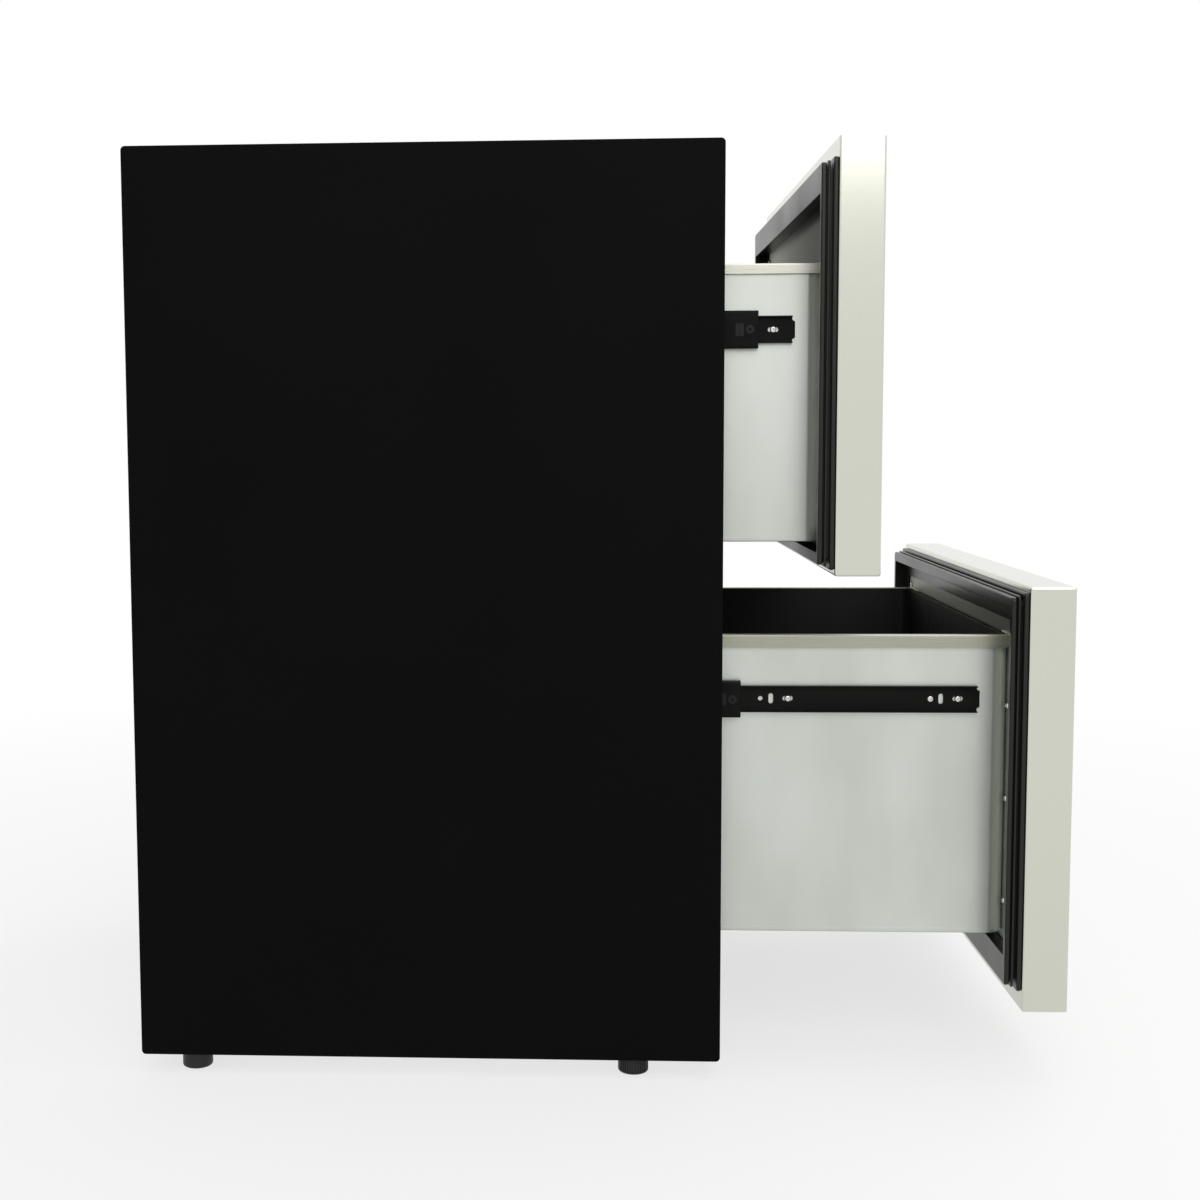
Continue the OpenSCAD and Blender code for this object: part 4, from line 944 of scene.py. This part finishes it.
bracket_x = 0.2396
bracket_rows = {"upper": (0.0775, 0.1695), "lower": (0.090, 0.190, 0.280)}
for which in drawers:
    seat, z = seat_y[which], middle_z(which + "_inner_members")
    front_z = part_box(which + "_front_skin")[0].z
    heads = []
    for side in (-1, 1):
        for place in screw_places + (screw_places[0] + hole_step,):
            heads.append(placed(slide_screw, (side * web_out, seat + place, z), (side, 0, 0)))
        for rise in bracket_rows[which]:
            spot = (side * bracket_x, seat - 0.012, front_z + rise)
            heads.append(placed(bracket_screw, spot, (0, 1, 0)))
    hand_over(fuse(heads, which + "_pan_heads"), which + "_drawer", "zinc",
              which + "_drawer_screws")
drop(slide_screw, bracket_screw)

# %% [markdown]
# Each inner panel is held by a screw in every corner, just inside the flange
# of the gasket. They reuse the same pan head, a little wider and flatter.

# %% Panel screws
panel_screw = pan_head("panel_screw", 0.0036, 0.0022, 0.003)
from_edge = 0.015
for which in drawers:
    low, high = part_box(which + "_inner_panel")
    corners = [(x, high.y, z) for x in (low.x + from_edge, high.x - from_edge)
               for z in (low.z + from_edge, high.z - from_edge)]
    screws = [placed(panel_screw, place, (0, 1, 0)) for place in corners]
    hand_over(fuse(screws, which + "_panel_screws"), which + "_drawer", "zinc")
drop(panel_screw)

# %% [markdown]
# ## Feet
# Four black levelling feet. The front pair can be turned by hand, so their
# rims are ribbed; the rear pair is plain. The ribs are every second face of a
# many-sided drum, pushed in a little, and the thread of the stem is a row of
# fine ridges.

# %% Feet
round_sides = 72


def levelling_foot(name, node, ribs):
    """A round foot with a narrower sole on a threaded stem."""
    low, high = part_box(node)
    x, y = (low.x + high.x) / 2, (low.y + high.y) / 2
    radius, top = (high.x - low.x) / 2, 0.0177
    foot = drum(name, (x, y, 0), (x, y, top), radius, round_sides)
    soften(foot, 0.0022, rim(2, 0), 4)
    soften(foot, 0.0016, rim(2, top), 3)
    if ribs:
        def every_second(face):
            step = int(turn_of(face, (x, y, 0), 0, 1) * round_sides)
            return abs(face.normal.z) < 0.1 and step % 2 == 0
        work(foot, "faces", every_second, bpy.ops.mesh.extrude_faces_move,
             TRANSFORM_OT_shrink_fatten={"value": -0.0007})
    ridges = [drum("stem", (x, y, top - 0.001), (x, y, high.z), 0.0034, 20)]
    first = drum("ridge", (x, y, 0), (x, y, 0.0008), 0.0040, 20)
    soften(first, 0.00035, lambda edge: not runs_along(edge, 2), 1)
    height = top + 0.0006
    while height < high.z - 0.001:
        ridges.append(copy_of(first, "ridge", (0, 0, height)))
        height += 0.00125
    drop(first)
    return fuse([foot] + ridges)


for end, ribs in (("front", True), ("rear", False)):
    for side in ("left", "right"):
        node = end + "_" + side + "_foot"
        foot = levelling_foot(end + "_" + side + "_levelling_foot", node, ribs)
        hand_over(foot, node, "foot", node, angle=25)

# %% [markdown]
# ## Strips, mullion and grille
# The strips that hold a box to its front are plain bars with broken edges.
# The mullion between the openings is a folded channel. The toe grille is one
# moulding with rounded slots, and behind every row a blade slopes down, so
# that air gets in but nobody sees through: each blade is a thin block whose
# front face is pulled down.

# %% Strips and mullion
for which in drawers:
    low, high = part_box(which + "_brackets")
    strip = block(which + "_side_strip", low, (low.x + 0.038, high.y, high.z))
    soften(strip, 0.0006, every, 2)
    for rise in bracket_rows[which]:
        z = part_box(which + "_front_skin")[0].z + rise
        cut(strip, drum("hole", (-bracket_x, low.y - 0.001, z), (-bracket_x, high.y + 0.001, z),
                        pilot_radius, 16))
    hand_over(both_sides(strip), which + "_drawer", "box_grey", which + "_brackets")

low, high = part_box("center_mullion")
mullion = block("folded_mullion", low, high)
soften(mullion, 0.002, along(0), 4)
space = block("space", (low.x - 0.001, low.y + sheet, low.z + sheet),
              (high.x + 0.001, high.y - sheet, high.z - sheet))
cut(mullion, soften(space, 0.0008, along(0), 2))
hand_over(mullion, "cabinet", "cabinet_black", "center_mullion")

# %% Toe grille
def open_rear(name, low, high, wall):
    """The inside of a tray whose rear is open."""
    return block(name, (low.x + wall, low.y + wall, low.z + wall),
                 (high.x - wall, high.y + 0.001, high.z - wall))


low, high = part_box("kick_grille")
wall = 0.002
grille = block("toe_grille", low, high)
soften(grille, 0.0015, lambda edge: middle(edge).y < high.y - 0.0001, 3)
cut(grille, open_rear("space", low, high, wall))
columns, rows, border = 9, 4, 0.003
column_pitch = (high.x - low.x) / (columns + 0.5)
row_pitch = (high.z - low.z - 2 * border) / rows
first_slot = block("slot", (-0.022, low.y - 0.001, -0.002), (0.022, low.y + wall + 0.001, 0.002))
soften(first_slot, 0.0019, along(1), 4)
slots, blades = [], []
for row in range(rows):
    z = low.z + border + (row + 0.5) * row_pitch
    for column in range(columns):
        x = (column - (columns - 1) / 2) * column_pitch
        slots.append(copy_of(first_slot, "slot", (x, 0, z)))
    blade = block("blade", (low.x + 0.001, low.y + 0.0023, z + 0.0012),
                  (high.x - 0.001, high.y - 0.0002, z + 0.0022))
    blades.append(work(blade, "faces", lambda face: face.normal.y < -0.9,
                       bpy.ops.transform.translate, value=(0, 0, -0.003)))
drop(first_slot)
cut(grille, fuse(slots))
hand_over(fuse([grille] + blades), "cabinet", "grille", "kick_grille")

# %% [markdown]
# ## The back
# Two zinc sheets close the back. The upper one is stiffened by pressed beads.
# The lower one covers the machine compartment, and each of its slots has a
# small pressed hood that opens downwards. A hood is a block whose upper outer
# edge is pushed back to the sheet; a smaller one of the same shape hollows it.

# %% Rear panel
low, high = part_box("rear_panel")
panel = block("beaded_rear_panel", low, high)
proud_y, bead_pitch = high.y + 0.0010, 0.11
first_bead = block("bead", (-0.006, low.y + 0.0003, 0.35), (0.006, proud_y, 0.82))
soften(first_bead, 0.0055, along(1), 6)
soften(first_bead, 0.0006, rim(1, proud_y), 2)
for number in range(-2, 3):
    cut(panel, copy_of(first_bead, "bead", (number * bead_pitch, 0, 0)), "UNION")
drop(first_bead)
hand_over(panel, "cabinet", "galvanised", "rear_panel")

# %% Machine cover
def hood_shape(name, half, below, above, rear, outer, push_back):
    """A wedge whose outer face slopes back to its upper edge."""
    wedge = block(name, (-half, rear, -below), (half, outer, above))
    return work(wedge, "edges", lambda edge: rim(1, outer)(edge) and rim(2, above)(edge),
                bpy.ops.transform.translate, value=(0, -push_back, 0))


low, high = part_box("machine_cover")
cover = block("louvred_machine_cover", low, high)
soften(cover, 0.0004, rim(1, high.y), 2)
hood = hood_shape("hood", 0.026, 0.0002, 0.0062, high.y - 0.0005, high.y + 0.0011, 0.0010)
soften(hood, 0.0003, lambda edge: runs_along(edge, 0) and middle(edge).y > high.y - 0.0001, 2)
cut(hood, hood_shape("inside", 0.0254, 0.0012, 0.0054, high.y - 0.0015, high.y + 0.0007, 0.0009))
first_slot = block("slot", (-0.025, low.y - 0.001, -0.003), (0.025, high.y + 0.001, 0.003))
soften(first_slot, 0.001, along(1), 2)
rows, columns, row_pitch, column_pitch, first_row = 8, 7, 0.020, 0.066, 0.110
slots, hoods = [], []
for row in range(rows):
    for column in range(columns):
        step = ((column - (columns - 1) / 2) * column_pitch, 0, first_row + row * row_pitch)
        slots.append(copy_of(first_slot, "slot", step))
        hoods.append(copy_of(hood, "hood", step))
cover_screws = [(side * 0.291, z) for side in (-1, 1) for z in (0.058, 0.153, 0.253)]
gland_low, gland_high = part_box("cord_gland")
gland = ((gland_low.x + gland_high.x) / 2, (gland_low.z + gland_high.z) / 2)
holes = [(x, z, 0.0023, 20) for x, z in cover_screws] + [(*gland, 0.0113, 40)]
for x, z, radius, sides in holes:
    slots.append(drum("hole", (x, low.y - 0.001, z), (x, high.y + 0.001, z), radius, sides))
cut(cover, fuse(slots))
drop(first_slot, hood)
hand_over(fuse([cover] + hoods), "cabinet", "galvanised", "machine_cover")

# %% Cover screws
sheet_rear_y = 0.4363
first_screw = pan_head("cover_screw", 0.0035, 0.0012, 0.007)
screws = [placed(first_screw, (x, sheet_rear_y, z), (0, 1, 0)) for x, z in cover_screws]
drop(first_screw)
hand_over(fuse(screws, "cover_pan_heads"), "cabinet", "zinc", "cabinet_screws")

# %% [markdown]
# ## Inside the cabinet
# Behind the upper drawer a moulded cover hides the evaporator. Its fan blows
# through a round grille of bars, which are slots whose length follows the
# circle, and air returns through a row of slots below. The control housing
# under the ceiling has a lamp behind a ribbed lens and a fluted knob.

# %% Evaporator cover
low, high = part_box("evaporator_cover")
wall = 0.0015
cover = block("moulded_evaporator_cover", low, high)
soften(cover, 0.006, along(1), 5)
soften(cover, 0.004, rim(1, low.y), 5)
inside = open_rear("inside", low, high, wall)
soften(inside, 0.0045, along(1), 4)
soften(inside, 0.0025, rim(1, low.y + wall), 4)
cut(cover, inside)
fan_z, grille_radius = 0.737, 0.056
vent_pitch, vent_half = 0.044, 0.016
cutters = []
for number in range(11):
    rise = -0.053 + 0.010 * number
    reach = (grille_radius ** 2 - rise ** 2) ** 0.5
    z = fan_z + rise
    bar = block("bar", (-reach, low.y - 0.001, z - 0.003), (reach, low.y + wall + 0.001, z + 0.003))
    cutters.append(soften(bar, 0.002, along(1), 3))
for column in range(-4, 5):
    x = column * vent_pitch
    vent = block("vent", (x - vent_half, low.y - 0.001, low.z + 0.014),
                 (x + vent_half, low.y + wall + 0.001, low.z + 0.019))
    cutters.append(soften(vent, 0.0022, along(1), 3))
cut(cover, fuse(cutters))
hand_over(cover, "cabinet", "cover", "evaporator_cover")

# %% Control housing and lamp
low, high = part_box("control_housing")
front_y, knob_x, knob_z = low.y + 0.008, -0.034, (low.z + high.z) / 2
housing = block("moulded_control_housing", (low.x, front_y, low.z), high)
soften(housing, 0.004, along(2), 5)
soften(housing, 0.0025, rim(2, low.z), 4)
lamp_low, lamp_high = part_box("lamp_cover")
space = block("space", (lamp_low.x - 0.0003, front_y - 0.001, low.z - 0.001),
              (lamp_high.x + 0.0003, lamp_high.y + 0.0003, lamp_high.z + 0.0003))
cut(housing, space)
vents = []
for number in range(3):
    z = low.z + 0.009 + 0.006 * number
    vent = block("vent", (low.x + 0.006, front_y - 0.001, z - 0.001),
                 (low.x + 0.019, front_y + 0.004, z + 0.001))
    vents.append(soften(vent, 0.0009, along(1), 3))
cut(housing, fuse(vents))
pin = drum("pin", (knob_x, low.y, knob_z), (knob_x, front_y + 0.001, knob_z), 0.003, 24)
soften(pin, 0.0005, rim(1, low.y), 2)
hand_over(fuse([housing, pin]), "cabinet", "control", "control_housing")

# %% Lens of the lamp
lens = block("ribbed_lens", lamp_low, lamp_high)
soften(lens, 0.0015, lambda edge: middle(edge).z < lamp_high.z - 0.0001, 3)
cut(lens, block("inside", lamp_low + Vector((0.002, 0.002, 0.002)),
                (lamp_high.x - 0.002, lamp_high.y - 0.002, lamp_high.z + 0.001)))
grooves, groove_z = [], lamp_low.z + 0.0008
for number in range(11):
    x = lamp_low.x + 0.0055 + number * 0.0044
    groove = block("groove", (x - 0.0008, lamp_low.y + 0.004, lamp_low.z - 0.001),
                   (x + 0.0008, lamp_high.y - 0.004, groove_z))
    grooves.append(soften(groove, 0.0006, lambda edge: runs_along(edge, 1)
                          and near(middle(edge).z, groove_z), 2))
cut(lens, fuse(grooves))
hand_over(lens, "cabinet", "lamp", "lamp_cover")

# %% Knob
low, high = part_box("thermostat_knob")
face_y = low.y + 0.004
knob = drum("fluted_knob", (knob_x, face_y, knob_z), (knob_x, high.y, knob_z), 0.014, round_sides)
soften(knob, 0.0012, rim(1, face_y), 3)


def every_third(face):
    step = int(turn_of(face, (knob_x, 0, knob_z), 0, 2) * round_sides)
    return abs(face.normal.y) < 0.05 and step % 3 == 0


work(knob, "faces", every_third, bpy.ops.mesh.extrude_faces_move,
     TRANSFORM_OT_shrink_fatten={"value": -0.0006})
grip = block("grip", (knob_x - 0.002, low.y, knob_z - 0.012),
             (knob_x + 0.002, face_y + 0.001, knob_z + 0.012))
soften(grip, 0.0012, lambda edge: middle(edge).y < face_y, 3)
cut(knob, grip, "UNION")
cut(knob, drum("bore", (knob_x, high.y - 0.0085, knob_z), (knob_x, high.y + 0.001, knob_z),
               0.0034, 24))
hand_over(knob, "thermostat_knob", "knob", "thermostat_knob")
